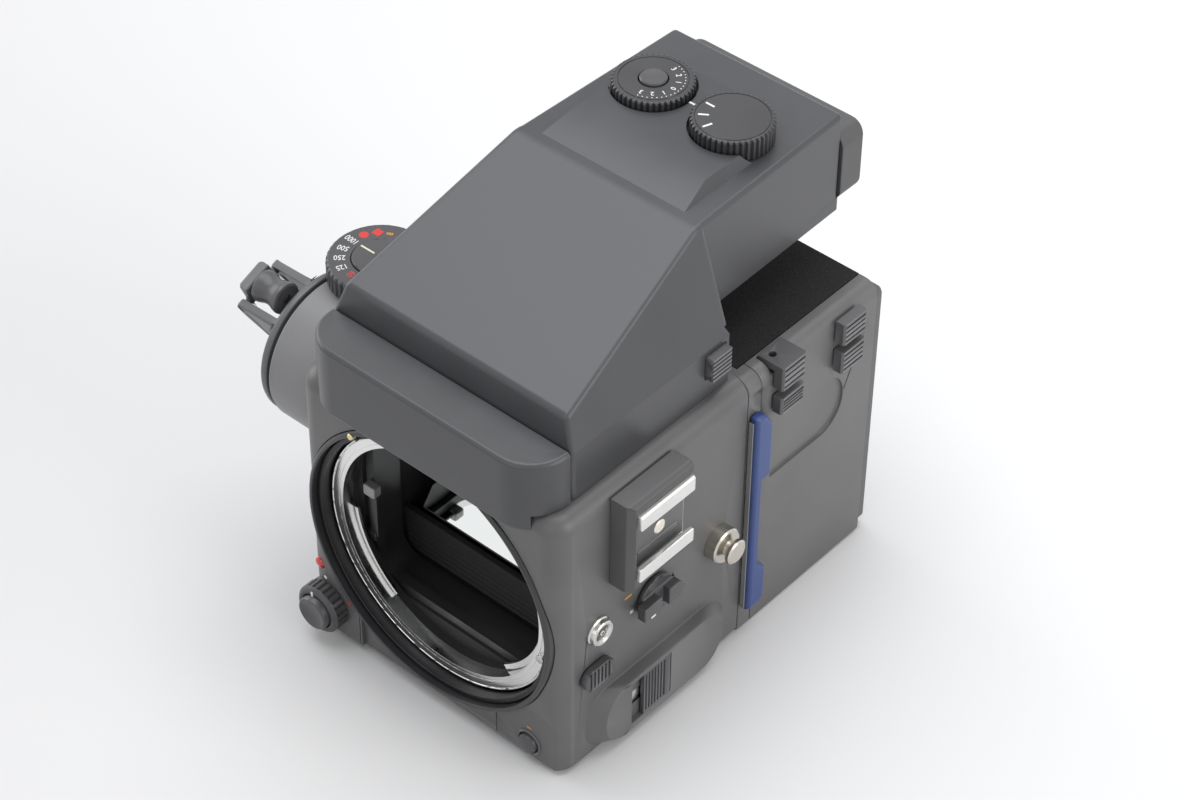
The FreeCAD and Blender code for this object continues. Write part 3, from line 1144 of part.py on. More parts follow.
magazine.cut(magazine.on("YZ", slide_left - gap).rectangle(
    slide_y - seat, slide_y + get("slide_plate") + seat, slide_low - seat, slide_high + seat),
    half - slide_left + gap)
magazine.cut(magazine.on("XY", mag_top - get("panel_depth")).rectangle(
    -panel_half, panel_half, panel_front, mag_back), get("panel_depth"))
corner = get("recess_corner")
magazine.cut(magazine.on("YZ", half - get("recess_depth")).loop([
    (recess_front, recess_low), (recess_back - corner, recess_low),
    (recess_back, recess_low + corner), (recess_back, recess_high - corner),
    (recess_back - corner, recess_high), (recess_front, recess_high)],
    {1: corner, 3: corner}), get("recess_depth"))
latch_stem = get("latch_stem")
travel = get("latch_travel")
front_latch_mid = front_latch_y + get("front_latch_length") / 2
rear_latch_mid = rear_latch_y + get("rear_latch_length") / 2
LATCHES = (
    ("front_latch_upper", front_latch_y, get("front_latch_length"),
     front_upper_bottom, front_upper_top, -1),
    ("front_latch_lower", front_latch_y, get("front_latch_length"),
     front_lower_bottom, front_lower_top, 1),
    ("rear_latch_upper", rear_latch_y, get("rear_latch_length"),
     rear_upper_bottom, rear_upper_top, -1),
    ("rear_latch_lower", rear_latch_y, get("rear_latch_length"),
     rear_lower_bottom, rear_lower_top, 1),
)


def stem_level(low, sense):
    """Give the bottom of a latch's stem, at the end of the latch that it moves towards."""
    return low + 0.6


for name, y, length, low, high, sense in LATCHES:
    slot_low = stem_level(low, sense) - gap - (travel if sense < 0 else 0)
    slot_high = stem_level(low, sense) + latch_stem + gap + (travel if sense > 0 else 0)
    middle = y + length / 2
    magazine.cut(magazine.on("YZ", half - mag_wall).rectangle(
        middle - latch_stem / 2 - gap, middle + latch_stem / 2 + gap, slot_low, slot_high), mag_wall)
notch_low = front_upper_top - get("latch_cap_thickness") - travel - gap
magazine.cut(magazine.on("XY", notch_low).rectangle(
    latch_cap_x - gap, half + 1, front_latch_y - gap,
    front_latch_y + get("front_latch_length") + gap), mag_top - notch_low + 1)
knuckle = get("knuckle_radius")
hinge_x = -cover_side
hinge_y = mag_back + seat + knuckle
for level in (get("knuckle_low") - get("knuckle_length"), knuckle_high):
    magazine.pad(magazine.on("XY", level).circle(hinge_x, hinge_y, knuckle), get("knuckle_length"))
    magazine.pad(magazine.on("XY", level).rectangle(
        hinge_x - knuckle, hinge_x + 1, mag_back - 1, hinge_y), get("knuckle_length"))
for level in (get("knuckle_low") - 4, knuckle_high):
    magazine.cut(magazine.on("XY", level).circle(hinge_x, hinge_y, get("knuckle_pin") + fit), 4)

panel = Piece("magazine_top_panel")
panel.pad(panel.on("XY", mag_top - get("panel_depth")).rectangle(
    seat - panel_half, panel_half - seat, panel_front + seat, mag_back - seat),
    get("panel_depth"))

# Dark slide: the thin plate in front of the film, and its moulded handle.
dark_slide = Piece("dark_slide")
dark_slide.pad(dark_slide.on("YZ", slide_left).rectangle(
    slide_y, slide_y + get("slide_plate"), slide_low, slide_high), half + gap - slide_left)
handle = Piece("slide_handle", half + gap, 0, 0)
handle_front = slide_y - seat
trim = get("handle_corner")
handle.pad(handle.on("YZ").loop([
    (handle_front, get("handle_bottom")), (wide - trim, get("handle_bottom")),
    (wide, get("handle_bottom") + trim), (wide, get("handle_lower_edge")),
    (waist, get("handle_lower_step")), (waist, handle_upper_step),
    (wide, handle_upper_step), (wide, handle_upper_edge),
    (waist, handle_top), (handle_front, handle_top)]), get("handle_proud"))
handle.chamfer(0.7, lambda e: abs(e.CenterOfMass.x - get("handle_proud").value) < NEAR)

# Latch buttons: each pair is pinched together, the front one frees the magazine, the rear one
# the back cover.
for name, y, length, low, high, sense in LATCHES:
    latch = Piece(name, half, y, low)
    latch.pad(latch.on("YZ", gap).rectangle(0, length, 0, high - low), get("latch_proud") - gap)
    latch.chamfer(0.5, lambda e: lies(e, x=get("latch_proud")) and straight(e, "z"))
    if name == "front_latch_upper":
        cap_low = high - low - get("latch_cap_thickness")
        latch.pad(latch.on("XY", cap_low).rectangle(
            latch_cap_x - half, 1.0, 0, length), get("latch_cap_thickness"))
        latch.cut(latch.on("XY", cap_low).circle(
            (latch_cap_x - half) / 2, 2.6, get("latch_eye")), get("latch_cap_thickness"))
    latch.pad(latch.on("YZ", -mag_wall).rectangle(
        length / 2 - latch_stem / 2, length / 2 + latch_stem / 2, stem_level(low, sense) - low,
        stem_level(low, sense) - low + latch_stem), mag_wall + gap)
    latch_groove = latch.cut(latch.on("YZ", get("latch_proud") - 0.5).rectangle(
        0.7, length - 0.7, 0.8, 1.3), 0.5)
    latch.row(latch_groove, "Z", high - low - 2.2, 4)

# Back cover hinged on the winding side.
cover = Piece("back_cover")
cover_y = mag_back + seat
cover_left = hinge_x + knuckle + gap
cover.pad(cover.on("XZ", cover_y).rounded(cover_left, half - 0.4, get("cover_bottom"),
                                          cover_top, 2.0), get("cover_thickness"))
cover.chamfer(0.9, lambda e: abs(e.CenterOfMass.y - (cover_y + get("cover_thickness")).value) < NEAR)
cover_low = get("knuckle_low") + gap
cover_high = knuckle_high - gap
cover.pad(cover.on("XY", cover_low).circle(hinge_x, hinge_y, knuckle), cover_high - cover_low)
cover.pad(cover.on("XY", cover_low).rectangle(hinge_x, cover_left + 2.5, hinge_y - 0.6, hinge_y + 1.0),
          cover_high - cover_low)
cover.pad(cover.on("XY", cover_low - gap - 3.4).circle(hinge_x, hinge_y, get("knuckle_pin")),
          cover_high - cover_low + 2 * gap + 6.8)

# Film insert: bent frame that carries the two spools and the sprung pressure plate.
pressure = Piece("pressure_plate", 0, film_y + seat, axis_z)
pressure.pad(pressure.on("XZ").rounded(
    -pressure_half, pressure_half, -get("pressure_half_height"),
    get("pressure_half_height"), 1.5), get("pressure_plate_thickness"))
insert = Piece("insert_frame")
insert_plate = get("insert_plate")
insert_front = film_y + 2 * seat + get("pressure_plate_thickness")
insert.pad(insert.on("XY", get("insert_bottom")).loop([
    (-insert_half, insert_front), (insert_half, insert_front), (insert_half, insert_back),
    (insert_half - insert_plate, insert_back),
    (insert_half - insert_plate, insert_front + insert_plate),
    (insert_plate - insert_half, insert_front + insert_plate),
    (insert_plate - insert_half, insert_back), (-insert_half, insert_back)]),
    insert_top - get("insert_bottom"))
spool_pin = get("spool_pin")
pin_reach = insert_half - insert_plate + 0.5
SPOOLS = (("supply_spool", axis_z - get("spool_spread")), ("takeup_spool", axis_z + get("spool_spread")))
for name, level in SPOOLS:
    for start in (spool_half - 3, -pin_reach):
        insert.pad(insert.on("YZ", start).circle(spool_y, level, spool_pin),
                   pin_reach - spool_half + 3)
for name, level in SPOOLS:
    spool = Piece(name, 0, spool_y, level)
    spool.pad(spool.on("YZ", -spool_half).circle(0, 0, get("spool_core")), 2 * spool_half)
    flange_sheet = get("spool_flange_thickness")
    for start in (-spool_half, spool_half - flange_sheet):
        spool.pad(spool.on("YZ", start).circle(0, 0, get("spool_flange")), flange_sheet)
    for start in (-spool_half, spool_half - 4):
        spool.cut(spool.on("YZ", start).circle(0, 0, spool_pin + fit), 4)

# Check every object, then write one file for each sub-part.
doc.recompute()
for item in doc.Objects:
    if "Invalid" in item.State or "Error" in item.State:
        raise RuntimeError(f"{item.Name} did not rebuild")
for piece in pieces:
    shape = piece.Shape
    if shape.isNull() or not shape.isValid() or not shape.Solids:
        raise RuntimeError(f"{piece.Label} has no valid solid")
    shape.exportStep(f"parts/{piece.Label}.step")
print(len(pieces), "sub-parts written")
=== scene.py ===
import bmesh
import bpy
import json
import math
from mathutils import Matrix, Vector

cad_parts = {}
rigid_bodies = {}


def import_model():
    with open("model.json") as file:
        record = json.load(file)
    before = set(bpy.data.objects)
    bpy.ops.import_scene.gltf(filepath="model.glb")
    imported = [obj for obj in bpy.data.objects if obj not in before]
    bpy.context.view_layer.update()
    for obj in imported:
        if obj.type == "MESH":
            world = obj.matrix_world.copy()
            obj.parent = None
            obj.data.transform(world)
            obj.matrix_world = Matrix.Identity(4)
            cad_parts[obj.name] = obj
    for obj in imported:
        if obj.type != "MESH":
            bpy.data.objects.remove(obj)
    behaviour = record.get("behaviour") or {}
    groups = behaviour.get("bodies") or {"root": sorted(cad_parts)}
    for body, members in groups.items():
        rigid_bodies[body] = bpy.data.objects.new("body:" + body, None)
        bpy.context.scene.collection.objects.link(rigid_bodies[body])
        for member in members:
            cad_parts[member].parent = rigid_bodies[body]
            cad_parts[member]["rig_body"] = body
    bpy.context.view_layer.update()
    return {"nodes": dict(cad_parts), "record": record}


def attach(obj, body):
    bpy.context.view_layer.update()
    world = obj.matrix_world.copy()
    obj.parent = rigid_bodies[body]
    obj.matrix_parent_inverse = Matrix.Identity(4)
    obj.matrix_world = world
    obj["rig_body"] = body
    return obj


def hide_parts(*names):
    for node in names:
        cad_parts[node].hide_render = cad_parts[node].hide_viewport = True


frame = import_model()
bpy.ops.object.select_all(action="DESELECT")

# Medium format film camera
# A body with its prism finder, magazine and crank, without a lens, on a pale table top. The looks
# are built round the CAD solids. X points to the accessory shoe, Y to the magazine and Z up, from
# the mouth of the tripod socket. Viewer, table top and lamps are placed in metres.

# Viewing camera
# A long lens held high over the camera's front right corner, as the photograph was taken: its
# axes, place and focal length come from lines measured on the photograph.
EYE = (0.382259, -0.414106, 0.588980)
PHOTO_FOCAL, PHOTO_WIDTH = 3223.0, 1200.0
SENSOR_WIDTH = 36.0
look = Matrix(((0.750845, -0.449300, 0.484109),
               (0.660431, 0.501986, -0.558427),
               (0.007885, 0.739013, 0.673645)))
look = look.to_quaternion().to_matrix()
bpy.ops.object.camera_add()
viewer = bpy.context.object
viewer.name = "viewing_camera"
viewer.matrix_world = Matrix.Translation(EYE) @ look.to_4x4()
viewer.data.sensor_fit = "HORIZONTAL"
viewer.data.sensor_width = SENSOR_WIDTH
viewer.data.lens = PHOTO_FOCAL / PHOTO_WIDTH * SENSOR_WIDTH
viewer.data.clip_end = 20.0
bpy.context.scene.camera = viewer
bpy.context.scene.view_settings.view_transform = "Standard"

# Table top
# A seamless sheet of white paper with painted shade: it gets a little darker towards the viewer,
# standing in for the light falling off. It is no part of the camera and lies just under its base.
def plug(tree, node, **inputs):
    """Give a node's inputs, named in lower case, their values or their links."""
    labels = {socket.name.lower(): socket.name for socket in node.inputs}
    for name, value in inputs.items():
        socket = node.inputs[labels[name.replace("_", " ")]]
        if isinstance(value, bpy.types.NodeSocket):
            tree.links.new(value, socket)
        else:
            socket.default_value = value


def add(tree, kind, **inputs):
    """Add a shader node of a kind with its inputs and give it back."""
    node = tree.nodes.new("ShaderNode" + kind)
    plug(tree, node, **inputs)
    return node


def new_material(name):
    """Start a material: give it with its node tree, its shader and the piece's own coordinates."""
    material = bpy.data.materials.new(name)
    material.use_nodes = True
    tree = material.node_tree
    place = tree.nodes.new("ShaderNodeTexCoord").outputs["Object"]
    return material, tree, tree.nodes["Principled BSDF"], place


def ramp(tree, factor, low, high, start=0.0, end=1.0):
    """Blend from a low to a high colour along a factor and give the colour's output."""
    blend = add(tree, "ValToRGB", fac=factor)
    for stop, position, colour in zip(blend.color_ramp.elements, (start, end), (low, high)):
        stop.position = position
        stop.color = (*colour, 1)
    return blend.outputs["Color"]


def primitive(name, operator, **settings):
    """Add a primitive shape with nothing else selected, and name it."""
    bpy.ops.object.select_all(action="DESELECT")
    operator(**settings)
    piece = bpy.context.object
    piece.name = name
    return piece


VIEW_TURN = math.radians(40.9)
table_top = primitive("table_top", bpy.ops.mesh.primitive_plane_add, size=8.0,
                      location=(0, 0, -0.0002))
paper, tree, shader, place = new_material("seamless_paper")
facing_viewer = add(tree, "Mapping", vector=place, rotation=(0, 0, VIEW_TURN))
distance = add(tree, "SeparateXYZ", vector=facing_viewer.outputs["Vector"])
depth = add(tree, "MapRange", value=distance.outputs["Y"], from_min=-0.16, from_max=0.24)
shade = ramp(tree, depth.outputs["Result"], (0.68, 0.675, 0.67), (0.86, 0.86, 0.86))
plug(tree, shader, base_color=shade, roughness=0.9, specular_ior_level=0.1)
table_top.data.materials.append(paper)

# Light
# A large soft box above, smaller ones on both sides and a weak fill in front. The room lights
# the camera grey, but is white to the eye, behind glass and in reflections.
world = bpy.data.worlds.new("studio")
bpy.context.scene.world = world
world.use_nodes = True
tree = world.node_tree
room = tree.nodes["Background"]
plug(tree, room, color=(0.62, 0.63, 0.65, 1), strength=0.75)
white = add(tree, "Background", color=(0.92, 0.92, 0.92, 1))
rays = tree.nodes.new("ShaderNodeLightPath")
seen = rays.outputs["Is Camera Ray"]
for kind in ("Is Transmission Ray", "Is Glossy Ray"):
    either = tree.nodes.new("ShaderNodeMath")
    either.operation = "MAXIMUM"
    tree.links.new(seen, either.inputs[0])
    tree.links.new(rays.outputs[kind], either.inputs[1])
    seen = either.outputs[0]
blend = add(tree, "MixShader", fac=seen)
tree.links.new(room.outputs[0], blend.inputs[1])
tree.links.new(white.outputs[0], blend.inputs[2])
plug(tree, tree.nodes["World Output"], surface=blend.outputs[0])


def soft_box(name, place, aim, size, power, tint):
    """Hang one soft box at a place, facing a point, in metres and watts."""
    bpy.ops.object.light_add(type="AREA", location=place)
    lamp = bpy.context.object
    lamp.name = name
    lamp.data.shape = "RECTANGLE"
    lamp.data.size, lamp.data.size_y = size
    lamp.data.energy = power
    lamp.data.color = tint
    lamp.rotation_euler = (Vector(aim) - Vector(place)).to_track_quat("-Z", "Y").to_euler()


soft_box("top_box", (-0.25, 0.25, 1.6), (0, 0.02, 0.05), (1.8, 1.4), 22.0, (0.97, 0.98, 1.0))
soft_box("side_box", (1.6, 0.35, 0.75), (0, 0.03, 0.05), (1.2, 1.0), 11.5, (1.0, 0.985, 0.96))
soft_box("front_box", (0.1, -1.6, 0.9), (0, 0, 0.05), (1.2, 0.8), 2.2, (1.0, 1.0, 1.0))
soft_box("left_box", (-1.6, -0.2, 0.6), (0, 0, 0.05), (1.2, 0.9), 8.0, (1.0, 1.0, 1.0))

# Body casing
# One moulded shell of black polycarbonate round the alloy chassis, open below and behind, with
# rounded shoulders and a swelling for the battery. Two fine seams cross its lower front. From
# here on, sizes and places are in millimetres.
MM = 0.001
WELD = 0.000004
EDGE_ANGLE, SMOOTH_ANGLE = 32, 45
# Painted highlight: sharp convex edges are painted a lighter grey, between these limits of pointiness.
HIGHLIGHT_START, HIGHLIGHT_FULL, HIGHLIGHT_GREY = 0.53, 0.62, (0.34, 0.34, 0.35, 1)
slot_of = {row["node"]: row["material_slot"] for row in frame["record"]["subparts"]}


def choose(piece):
    """Make a piece the only selected object and the active one."""
    bpy.ops.object.select_all(action="DESELECT")
    piece.select_set(True)
    bpy.context.view_layer.objects.active = piece


def level_shading(piece, angle):
    """Shade a piece smoothly up to an angle and let its large faces stay flat."""
    choose(piece)
    bpy.ops.object.shade_smooth_by_angle(angle=math.radians(angle))
    even = piece.modifiers.new("even", "WEIGHTED_NORMAL")
    even.keep_sharp = True
    bpy.ops.object.modifier_apply(modifier="even")


def round_edges(piece, width, angle, steps=2, clamped=True):
    """Round the edges of a piece that are sharper than an angle."""
    choose(piece)
    edge = piece.modifiers.new("edge", "BEVEL")
    edge.width = width * MM
    edge.segments = steps
    edge.limit_method = "ANGLE"
    edge.angle_limit = math.radians(angle)
    edge.use_clamp_overlap = clamped
    bpy.ops.object.modifier_apply(modifier="edge")


def softened(node, width, name=None, steps=2):
    """Copy a CAD solid, join its loose triangles and round its edges by a width."""
    piece = bpy.data.objects.new(name or node + "_form", frame["nodes"][node].data.copy())
    bpy.context.scene.collection.objects.link(piece)
    choose(piece)
    bpy.ops.object.mode_set(mode="EDIT")
    bpy.ops.mesh.select_all(action="SELECT")
    bpy.ops.mesh.remove_doubles(threshold=WELD)
    bpy.ops.mesh.customdata_custom_splitnormals_clear()
    bpy.ops.object.mode_set(mode="OBJECT")
    round_edges(piece, width, EDGE_ANGLE, steps, clamped=False)
    level_shading(piece, SMOOTH_ANGLE)
    return piece


def fit(piece, body, slot, material, *replaced):
    """Give a finished piece its material and its body; the slot is not used."""
    piece.data.materials.clear()
    piece.data.materials.append(material)
    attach(piece, body)
    if replaced:
        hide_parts(*replaced)


def cut_away(piece, tool, solver="EXACT", shaded=0):
    """Take a tool's shape out of a piece, remove the tool and shade up to an angle if given."""
    choose(piece)
    bite = piece.modifiers.new("bite", "BOOLEAN")
    bite.operation = "DIFFERENCE"
    bite.solver = solver
    bite.object = tool
    bpy.ops.object.modifier_apply(modifier="bite")
    bpy.data.objects.remove(tool)
    if shaded:
        level_shading(piece, shaded)


def block(name, low, high, edge=0.0, steps=2):
    """Model a block from its low and high corners, with its edges bevelled."""
    middle = [(a + b) / 2 * MM for a, b in zip(low, high)]
    piece = primitive(name, bpy.ops.mesh.primitive_cube_add, size=1.0, location=middle)
    piece.scale = [(b - a) * MM for a, b in zip(low, high)]
    bpy.ops.object.transform_apply()
    if edge:
        bpy.ops.object.mode_set(mode="EDIT")
        bpy.ops.mesh.select_all(action="SELECT")
        bpy.ops.mesh.bevel(offset=edge * MM, segments=steps, profile=0.5)
        bpy.ops.object.mode_set(mode="OBJECT")
        level_shading(piece, 40)
    return piece


def tinted(colour, share):
    """A colour made darker or lighter by a share, never over white."""
    return [min(value * share, 1.0) for value in colour]


def moulded(name, colour, roughness, grain=0.35, depth=0.012, mottle=0.10, metallic=0.0, edge_highlight=0.0):
    """A finish with a fine grain of the given width and depth, a faint mottle and a painted highlight
    of lighter grey on sharp edges.
    """
    material, tree, shader, place = new_material(name)
    fine = add(tree, "TexNoise", vector=place, scale=1.0 / (grain * MM), detail=3.0, roughness=0.6)
    relief = add(tree, "Bump", height=fine.outputs["Fac"], distance=depth * MM)
    broad = add(tree, "TexNoise", vector=place, scale=55.0, detail=6.0).outputs["Fac"]
    tone = ramp(tree, broad, tinted(colour, 1 - mottle), tinted(colour, 1 + mottle), 0.3, 0.7)
    sheen = add(tree, "MapRange", value=broad, to_min=max(roughness - 0.05, 0.02),
                to_max=roughness + 0.05)
    # Painted highlight: the sharp edges, found by pointiness, get a lighter grey.
    if edge_highlight:
        corners = tree.nodes.new("ShaderNodeNewGeometry").outputs["Pointiness"]
        edge_lit = add(tree, "MapRange", value=corners, from_min=HIGHLIGHT_START, from_max=HIGHLIGHT_FULL,
                     to_max=edge_highlight)
        mix = tree.nodes.new("ShaderNodeMix")
        mix.data_type = "RGBA"
        plug(tree, mix, factor=edge_lit.outputs["Result"], a=tone, b=HIGHLIGHT_GREY)
        tone = mix.outputs["Result"]
    plug(tree, shader, base_color=tone, roughness=sheen.outputs["Result"],
         normal=relief.outputs["Normal"], metallic=metallic)
    return material


body_black = moulded("body_black_plastic", (0.112, 0.111, 0.112), 0.40, edge_highlight=0.3)
casing = softened("body_casing", 0.22, "casing_shell")
for left, right in ((-24.55, -24.25), (20.35, 20.65)):
    cut_away(casing, block("seam_tool", (left, -37, 1), (right, -33.4, 11.5)), "FAST", 40)
fit(casing, "camera", "black_paint", body_black, "body_casing")

# Chassis and mirror chamber
# Five screwed castings of light alloy, stoved matt black inside so that they throw no light
# about, with the round bulkhead that carries the lens mount and a liner bent round inside.
def coat(node, material, edge=0.0, steps=2):
    """Finish one CAD solid: give it its material alone, or put a copy with rounded edges on it."""
    solid = frame["nodes"][node]
    if edge:
        fit(softened(node, edge, steps=steps), solid["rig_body"], slot_of[node], material, node)
    else:
        solid.data.materials.clear()
        solid.data.materials.append(material)


def frame_loop(name, half, low, high, corner, wall, near, far):
    """Model an upright frame with rounded corners, from near to far along the optical axis."""
    piece = primitive(name, bpy.ops.mesh.primitive_plane_add, size=1.0)
    piece.rotation_euler = (math.radians(90), 0, 0)
    piece.scale = (2 * half * MM, (high - low) * MM, 1)
    piece.location = (0, near * MM, (low + high) / 2 * MM)
    bpy.ops.object.transform_apply()
    bpy.ops.object.mode_set(mode="EDIT")
    bpy.ops.mesh.select_all(action="SELECT")
    bpy.ops.mesh.bevel(offset=corner * MM, segments=8, affect="VERTICES")
    bpy.ops.mesh.select_all(action="SELECT")
    bpy.ops.mesh.inset(thickness=wall * MM)
    bpy.ops.mesh.delete(type="FACE")
    bpy.ops.mesh.select_all(action="SELECT")
    bpy.ops.mesh.extrude_region_move(TRANSFORM_OT_translate={"value": (0, (far - near) * MM, 0)})
    bpy.ops.mesh.select_all(action="SELECT")
    bpy.ops.mesh.normals_make_consistent(inside=False)
    bpy.ops.object.mode_set(mode="OBJECT")
    return piece


alloy_black = moulded("stoved_alloy", (0.020, 0.020, 0.021), 0.62, grain=0.5, depth=0.02)
for node in ("chassis", "mount_bulkhead"):
    coat(node, alloy_black)
ribbed_black = moulded("flocked_black", (0.012, 0.012, 0.013), 0.75, grain=0.2, depth=0.03)
coat("light_baffle", ribbed_black)
chamber_black = moulded("chamber_lacquer", (0.028, 0.028, 0.030), 0.38, grain=0.6, depth=0.01)
for name, *sizes in (("chamber_liner", 30.2, 16.4, 73.2, 9.0, 2.6, -24.4, -21.4),
                     ("chamber_step", 30.6, 16.2, 73.6, 8.0, 1.4, -21.4, -14.0)):
    liner = frame_loop(name, *sizes)
    level_shading(liner, 40)
    fit(liner, "camera", "cast_alloy", chamber_black)

# Diaphragm lever
# The blackened lever with a grey tip that closes the lens down. It stands inside the throat on
# the crank side, on a foot pinned to the bulkhead; a bracket of the mirror stands across from it.
lever_steel = moulded("lever_steel", (0.055, 0.055, 0.056), 0.35, grain=0.3, depth=0.004, metallic=0.6)
tip_grey = moulded("lever_tip", (0.30, 0.30, 0.30), 0.4, metallic=0.5)
for name, low, high, edge, steps, material in (
        ("diaphragm_lever", (-28.6, -25.6, 31.0), (-26.0, -24.6, 47.6), 0.35, 2, lever_steel),
        ("diaphragm_lever_foot", (-34.6, -26.0, 29.6), (-26.4, -24.7, 32.4), 0.35, 2, lever_steel),
        ("diaphragm_tip", (-29.0, -27.2, 45.4), (-25.2, -24.4, 48.8), 0.6, 3, tip_grey),
        ("mirror_bracket", (28.6, -23.6, 18.5), (30.2, -17.0, 36.5), 0.5, 2, lever_steel)):
    fit(block(name, low, high, edge, steps), "camera", "pin_steel", material)

# Mirror
# A front-silvered glass with clipped corners, cemented to a pressed black frame that swings
# up on two trunnions.
frame_lacquer = moulded("frame_lacquer", (0.018, 0.018, 0.019), 0.5)
for node in ("mirror_frame", "screen_frame"):
    coat(node, frame_lacquer)
silver, tree, shader, place = new_material("front_silver")
haze = add(tree, "TexNoise", vector=place, scale=90.0, detail=5.0)
film = add(tree, "MapRange", value=haze.outputs["Fac"], to_min=0.01, to_max=0.05)
plug(tree, shader, base_color=(0.90, 0.92, 0.92, 1), roughness=film.outputs["Result"], metallic=1.0)
coat("mirror_glass", silver)

# Focusing screen
# A sheet of acrylic, ground below and cut with fine rings above, that lies on a ledge over
# the mirror and glows with the light of the finder.
ground_glass, tree, shader, place = new_material("ground_acrylic")
rings = add(tree, "TexWave", vector=place, scale=700.0)
rings.wave_type = "RINGS"
rings.rings_direction = "Z"
groove = add(tree, "Bump", height=rings.outputs["Fac"], distance=0.02 * MM)
plug(tree, shader, base_color=(0.85, 0.88, 0.88, 1), roughness=0.45, transmission_weight=0.6,
     normal=groove.outputs["Normal"])
coat("focusing_screen", ground_glass)

# Shutter
# Two black rollers and the rubberised cloth curtain between them, in front of the film gate.
# The curtain winds from one roller to the other.
roller_black = moulded("roller_black", (0.03, 0.03, 0.032), 0.4, metallic=0.4)
for node in ("lower_drum", "upper_drum"):
    coat(node, roller_black)
curtain_cloth, tree, shader, place = new_material("rubberised_cloth")
weave = add(tree, "TexBrick", vector=place, scale=900.0, color1=(0.018, 0.018, 0.019, 1),
            color2=(0.024, 0.024, 0.025, 1), mortar=(0.010, 0.010, 0.010, 1))
threads = add(tree, "Bump", height=weave.outputs["Fac"], distance=0.02 * MM)
plug(tree, shader, base_color=weave.outputs["Color"], roughness=0.6, normal=threads.outputs["Normal"])
coat("shutter_curtain", curtain_cloth)

# Lens mount
# A bayonet ring turned from steel and satin chromed, with two fine turned steps; round it a
# blackened coupling ring and the fixed black surround with a gilt index pin.
AXIS = (0, 0, 43.5)
MOUNT_FACE = -31.0
STEP_DEPTH = 0.22
LOCK_PIN = (33.0, 0, 34.7)
UP, TO_FRONT, TO_BACK = (0, 0, 1), (0, -1, 0), (0, 1, 0)
RING_SCALE, TURNING_DEPTH = 0.16, 0.004
SPIN_WELD, SLIVER = 0.000002, 0.000001


def turned(name, profile, centre, facing, steps):
    """Turn a closed profile of (radius, height) points about an axis through a centre."""
    piece = primitive(name, bpy.ops.mesh.primitive_circle_add, vertices=len(profile), radius=MM)
    for point, (radius, height) in zip(piece.data.vertices, profile):
        point.co = (radius * MM, 0, height * MM)
    bpy.ops.object.mode_set(mode="EDIT")
    bpy.ops.mesh.select_all(action="SELECT")
    bpy.ops.mesh.spin(steps=steps, angle=2 * math.pi, center=(0, 0, 0), axis=(0, 0, 1))
    bpy.ops.mesh.select_all(action="SELECT")
    bpy.ops.mesh.remove_doubles(threshold=SPIN_WELD)
    bpy.ops.mesh.dissolve_degenerate(threshold=SLIVER)
    bpy.ops.mesh.select_all(action="SELECT")
    bpy.ops.mesh.normals_make_consistent(inside=False)
    bpy.ops.object.mode_set(mode="OBJECT")
    turn = Vector(UP).rotation_difference(Vector(facing).normalized())
    piece.matrix_world = Matrix.Translation(Vector(centre) * MM) @ turn.to_matrix().to_4x4()
    bpy.ops.object.transform_apply()
    bpy.ops.object.shade_smooth_by_angle(angle=math.radians(30))
    return piece


def turned_metal(name, colour, roughness, centre, direction="Y", ring=0.25):
    """Bright metal with the fine rings that a lathe leaves, of a width, round an axis at a point."""
    material, tree, shader, place = new_material(name)
    shift = add(tree, "Mapping", vector=place, location=[-value * MM for value in centre])
    lines = add(tree, "TexWave", vector=shift.outputs["Vector"], scale=RING_SCALE / (ring * MM),
                distortion=2.0, detail=2.0, detail_scale=3.0)
    lines.wave_type = "RINGS"
    lines.rings_direction = direction
    relief = add(tree, "Bump", height=lines.outputs["Fac"], distance=TURNING_DEPTH * MM)
    smears = add(tree, "TexNoise", vector=place, scale=160.0, detail=5.0).outputs["Fac"]
    gloss = add(tree, "MapRange", value=smears, to_min=max(roughness - 0.06, 0.03),
                to_max=roughness + 0.08)
    plug(tree, shader, base_color=ramp(tree, smears, tinted(colour, 0.9), tinted(colour, 1.08)),
         roughness=gloss.outputs["Result"], normal=relief.outputs["Normal"], metallic=1.0)
    return material


mount_chrome = turned_metal("satin_chrome", (0.80, 0.80, 0.79), 0.16, AXIS)
bayonet = softened("lens_mount_ring", 0.05, "bayonet_ring")
for inner, outer in ((33.1, 33.35), (35.0, 35.2)):
    profile = [(inner, -1), (outer, -1), (outer, STEP_DEPTH), (inner, STEP_DEPTH)]
    cut_away(bayonet, turned("step_tool", profile, (0, MOUNT_FACE, AXIS[2]), TO_BACK, 96), shaded=30)
fit(bayonet, "camera", "mount_chrome", mount_chrome, "lens_mount_ring")
coupling_black = turned_metal("coupling_anodised", (0.05, 0.05, 0.053), 0.35, AXIS, ring=0.3)
coat("coupling_ring", coupling_black, 0.15)
surround_black = moulded("surround_black", (0.035, 0.035, 0.037), 0.30, grain=0.4, depth=0.006)
coat("mount_surround", surround_black, 0.25)
pin_steel = turned_metal("pin_steel", (0.62, 0.61, 0.60), 0.2, LOCK_PIN, ring=0.1)
coat("lens_lock_pin", pin_steel, 0.1)
gilt = moulded("index_gilt", (0.75, 0.62, 0.36), 0.3, grain=0.2, depth=0.003, metallic=1.0)
index_pin = turned("mount_index_pin", [(0, -1.5), (0.9, -1.5), (0.9, 0.15), (0.7, 0.4), (0, 0.45)],
                   (-22.9, -35.8, 74.0), TO_FRONT, 24)
fit(index_pin, "camera", "contact_metal", gilt)

# Front hood
# The rounded black moulding over the mount, screwed to the casing. Its edges are painted a
# little lighter grey as a painted highlight.
hood_black = moulded("hood_black_plastic", (0.058, 0.059, 0.063), 0.34, grain=0.3, depth=0.008,
                     edge_highlight=0.35)
coat("front_hood", hood_black, 0.3)

